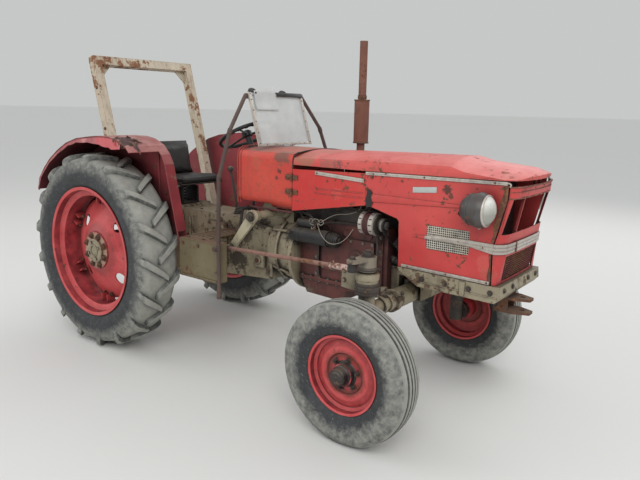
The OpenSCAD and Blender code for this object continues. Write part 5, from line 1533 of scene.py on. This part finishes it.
def makeSeat():
    half = seat["half"]
    pan = part("seatPan", "black_paint", replaces=("driver_seat",))
    piping = part("seatPiping", "black_plastic")
    mount = part("seatMount", "black_paint", replaces=("driver_seat",))
    sidePlate(pan, -half, [(-58, 1152), (328, 1181), (334, 1190), (-46, 1164), (-104, 1496), (-117, 1496),
        (-90, 1180)], 2 * half, 3)
    for side in (-1, 1):
        sidePlate(pan, side * (half - 4), [(-60, 1153), (320, 1182), (322, 1204), (0, 1206), (-60, 1290)],
            side * 5, 2)
    cushion = bmesh.new()
    block(cushion, (-24, -half + 16, 1186), (322, half - 16, 1216), 14)
    for vert in cushion.verts:  # dished in the middle, higher in front
        local = vert.co - at(150, 0, 1200)
        vert.co.z += 0.02 * abs(local.y / 0.19) ** 2 * (1 if local.z > 0 else 0) + 0.05 * local.x
    back = bmesh.new()
    block(back, (-62, -half + 18, 1232), (-34, half - 18, 1480), 13)
    for vert in back.verts:
        local = vert.co - at(-48, 0, 1232)
        vert.co.x -= local.z * 0.17 - 0.035 * abs(local.y / 0.19) ** 2
    pad = piece(puffed(cushion, "cushionForm"), "seatCushion", "seat_vinyl", "seat_vinyl",
        replaces=("driver_seat",), smoothAngle=60)
    backPad = piece(puffed(back, "backForm"), "seatBackPad", "seat_vinyl", "seat_vinyl", smoothAngle=60)
    rim = [(-20, -184, 1214), (150, -190, 1222), (312, -180, 1226), (322, -80, 1220), (324, 80, 1220),
        (312, 180, 1226), (150, 190, 1222), (-20, 184, 1214), (-30, 80, 1204), (-30, -80, 1204)]
    cable(piping, rim, 3.5, closed=True)
    block(mount, (-18, -88, 1012), (178, -70, 1150), 4)
    block(mount, (-18, 70, 1012), (178, 88, 1150), 4)
    block(mount, (-18, -88, 1011), (178, 88, 1022), 3)
    sidePlate(mount, -92, [(-18, 1148), (186, 1163), (186, 1169), (-18, 1154)], 184, 1.5)
    for y in (-38, 38):  # coil springs under the pan
        turns = [(60 + 26 * cos(k * 0.9), y + 26 * sin(k * 0.9), 1024 + k * 3.3) for k in range(38)]
        cable(mount, turns, 4.5)
    for x in (10, 150):
        for side in (-1, 1):
            bolt(mount, (x, side * 88, 1050), side, 19, 9)
            bolt(mount, (x, side * 60, 1022), "up", 17, 9)


for make in (makeWindscreen, makeHoopDetail, makeDash, makeControls, makeWingDetail, makeWingLips,
        makeStepDetail, makeSeat):
    build(make)


# rear end

print("rear end")
rearEnd = {"liftPivot": (-285, 944), "liftPin": (-605, 922), "linkPin": (-460, 478), "linkPivot": (-140, 500)}


def makeAxleEnds():
    bolts = part("axleHousingBolts", "rusty_steel")
    cream = part("axleHousingWebs", "cream_paint")
    z = stance["rearHubZ"] * 1000
    for side in (-1, 1):
        for c, s in circle(12, 1, 0.5):
            bolt(bolts, (138 * c, side * 190, z + 138 * s), side, 19, 12)
            bolt(bolts, (112 * c, side * 562, z + 112 * s), -side, 17, 10)
        lathe(cream, [(184, 100), (184, 158), (196, 158), (200, 150), (200, 100)], (0, 0, z), side, 48,
            closed=True)
        for x, up in circle(8, 1):  # webs along the trumpet
            plate(cream, [(x * 92, side * 199, z + up * 92), (x * 146, side * 199, z + up * 146),
                (x * 97, side * 330, z + up * 97), (x * 90, side * 330, z + up * 90)], (-up * 7, 0, x * 7))
    for x, up in ((-235, 600), (-235, 700), (-235, 850), (-235, 920)):
        for y in (-150, -75, 75, 150):
            bolt(bolts, (x, y, up), "aft", 17, 9)


def makePowerShaft():
    shaft = part("powerShaft", "dull_steel", "greasy_iron")
    guard = part("powerShaftGuard", "red_paint")
    for y, z in circle(6, 15.5):
        bar(shaft, (-262, y, 640 + z), (-333, y, 640 + z), 3.6, 6)
    lathe(shaft, [(0, 18), (0, 58), (-10, 58), (-14, 40), (-14, 18)], (-235, 0, 640), "fore", 36, closed=True)
    for y, z in circle(6, 50, 0.5):
        bolt(shaft, (-245, y, 640 + z), "aft", 12, 7)
    plate(guard, [(-236, -85, 600), (-236, -85, 715), (-236, 85, 715), (-236, 85, 600), (-236, 79, 600),
        (-236, 79, 708), (-236, -79, 708), (-236, -79, 600)], (-94, 0, 0), 2)


def makeLinkage():
    arms = part("liftArmCaps", "greasy_iron", body="lift_arms")
    rods = part("liftRodSleeves", "greasy_iron", body="lift_rods")
    links = part("lowerLinkEyes", "dull_steel", "greasy_iron", body="lower_links")
    bars = part("linkagePins", "rusty_steel")
    pivotX, pivotZ = rearEnd["liftPivot"]
    pinX, pinZ = rearEnd["liftPin"]
    lowX, lowZ = rearEnd["linkPin"]
    hingeX, hingeZ = rearEnd["linkPivot"]
    for side in (-1, 1):
        bolt(arms, (pivotX, side * 227, pivotZ), side, 46, 14)
        ring(arms, (204, 228), (26, 40), (pivotX, 0, pivotZ), side, 32)
        bolt(arms, (pinX, side * 264, pinZ), side, 24, 7, washer=False)
        top = Vector((pinX, side * 246, pinZ))
        low = Vector((lowX, side * 290, lowZ))
        axis = (low - top).normalized()
        length = (low - top).length
        bar(rods, top + axis * length * 0.28, top + axis * length * 0.66, 19, 20)  # threaded sleeve
        for share in (0.28, 0.66):
            ring(rods, (-7, 7), (14, 24), top + axis * length * share, axis, 24)
        for k in range(10):
            lathe(rods, [(0, 12.5), (2.5, 14.6), (5, 12.5)], top + axis * (length * 0.68 + k * 6), axis, 16,
                closed=True)
        for y in (292, 358):
            ring(links, (-6, 6), (17.6, 24), (hingeX, side * (316 if y < 300 else 334), hingeZ), "left", 28)
        lathe(links, [(-20, 15.5), (-24, 22), (-18, 28), (-8, 33), (8, 33), (18, 28), (24, 22), (20, 15.5)],
            (-860, side * 325, 450.5), "left", 36, closed=True)
        bolt(links, (lowX, side * 318, lowZ), side, 30, 12)
        bolt(bars, (hingeX, side * 345, hingeZ), side, 36, 12)
    # top link's bracket on the housing
    for y in (-34, 22):
        sidePlate(bars, y, [(-235, 770), (-300, 800), (-310, 826), (-296, 846), (-235, 862)], 12, 2)
    bar(bars, (-292, -48, 822), (-292, 48, 822), 11, 16)
    cable(bars, [(-292, 48, 822), (-296, 58, 822), (-312, 60, 812), (-304, 52, 796), (-292, 50, 802)], 3)
    # drawbar pin and its ring
    bar(bars, (-380, 0, 388), (-380, 0, 462), 14, 20)
    lathe(bars, [(456, 0), (456, 22), (468, 22), (472, 16), (472, 0)], (-380, 0, 0), "up", 24)
    cable(bars, [(-380, 0, 472), (-380, 20, 486), (-380, 0, 500), (-380, -20, 486)], 3.5, closed=True)
    for x in (-40, 60):
        for y in (-57, 57):
            bolt(bars, (x, y, 440), (0, 1 if y > 0 else -1, 0), 17, 8)


def makeFrameDetail():
    bm = part("frameBolts", "rusty_steel")
    plates = part("framePlates", "frame_paint")
    lean = radians(15.3)
    for side in (-1, 1):
        y = side * 450
        for x in (-78, 58):  # straps round the axle tube
            cable(bm, [(x, y - 30, 830), (x, y - 30, 720), (x * 0.9, y - 30, 640), (0, y - 30, 612)], 8)
            cable(bm, [(x, y + 30, 830), (x, y + 30, 720), (x * 0.9, y + 30, 640), (0, y + 30, 612)], 8)
            for shift in (-30, 30):
                bolt(bm, (x, y + shift, 836), "up", 24, 16)
        plate(plates, [(-104, y - 48, 836), (84, y - 48, 836), (84, y + 48, 836), (-104, y + 48, 836)],
            (0, 0, 8), 2)
        for along in (300, 620, 940):
            x, z = -70 - sin(lean) * along, 1000 + cos(lean) * along
            bolt(bm, (x, y + side * 33, z), side, 17, 7)
        top = (-70 - sin(lean) * 1080, 1000 + cos(lean) * 1080)
        plate(plates, [(top[0] - 4, side * 417, top[1] - 70), (top[0] - 24, side * 417, top[1] + 30),
            (top[0] - 24, side * 320, top[1] + 30)], (8, 0, 2), 1.5)


for make in (makeAxleEnds, makePowerShaft, makeLinkage, makeFrameDetail):
    build(make)


# floor, light and camera

print("stage")


def makeStage():
    floorMesh = bmesh.new()
    bmesh.ops.create_grid(floorMesh, x_segments=1, y_segments=1, size=400.0)
    mesh = bpy.data.meshes.new("studioFloor")
    floorMesh.to_mesh(mesh)
    floorMesh.free()
    floor = bpy.data.objects.new("studioFloor", mesh)
    scene.collection.objects.link(floor)
    mesh.materials.append(Finish("pale_floor", "d9d8d4", 0.9).done())

    world = bpy.data.worlds.new("studioWorld")
    scene.world = world
    world.use_nodes = True
    tree = world.node_tree
    tree.nodes.clear()
    path = addNode(tree, "LightPath").outputs
    seen = path["Is Camera Ray"]
    for kind in ("Is Glossy Ray", "Is Transmission Ray"):
        seen = addNode(tree, "Math", {0: seen, 1: path[kind]}, operation="MAXIMUM").outputs[0]
    shown = addNode(tree, "Background", {"Color": "c6c8c7", "Strength": 1.0})
    light = addNode(tree, "Background", {"Color": "eef1f4", "Strength": 0.85})
    blend = addNode(tree, "MixShader", {0: seen, 1: light.outputs[0], 2: shown.outputs[0]})
    addNode(tree, "OutputWorld", {"Surface": blend.outputs[0]})

    lamps = {
        # name: place, aim, size, watts
        "keyLight": (Vector((5.0, -6.0, 6.5)), Vector((0.2, 0.0, 0.9)), 5.0, 350),
        "fillLight": (Vector((-6.5, -4.5, 4.5)), Vector((0.0, 0.0, 0.8)), 6.0, 120),
        "backLight": (Vector((1.0, 7.0, 6.0)), Vector((0.0, 0.0, 1.0)), 6.0, 170),
    }
    for name, (place, aim, size, watts) in lamps.items():
        data = bpy.data.lights.new(name, "AREA")
        data.size = size
        data.energy = watts
        lamp = bpy.data.objects.new(name, data)
        lamp.location = place
        lamp.rotation_euler = (aim - place).to_track_quat("-Z", "Y").to_euler()
        scene.collection.objects.link(lamp)


def makeCamera():
    view = {
        "place": Vector((2.9725, -3.299, 1.777)),
        "yaw": -0.651,  # radians from straight across the tractor
        "pitch": -0.209,
        "roll": 0.022,
        "focalPixels": 614.9,  # for a picture 640 wide
    }
    forward = Vector((sin(view["yaw"]) * cos(view["pitch"]), cos(view["yaw"]) * cos(view["pitch"]),
        sin(view["pitch"])))
    right = forward.cross(Vector((0, 0, 1))).normalized()
    up = right.cross(forward)
    rolledRight = cos(view["roll"]) * right + sin(view["roll"]) * up
    rolledUp = cos(view["roll"]) * up - sin(view["roll"]) * right
    data = bpy.data.cameras.new("photoCamera")
    data.sensor_width = 36.0
    data.lens = 36.0 * view["focalPixels"] / 640
    data.clip_end = 900.0
    camera = bpy.data.objects.new("photoCamera", data)
    turn = Matrix((rolledRight, rolledUp, -forward)).transposed()
    camera.matrix_world = Matrix.Translation(view["place"]) @ turn.to_4x4()
    scene.collection.objects.link(camera)
    scene.camera = camera


makeStage()
makeCamera()
scene.view_settings.view_transform = "Standard"

print("done")
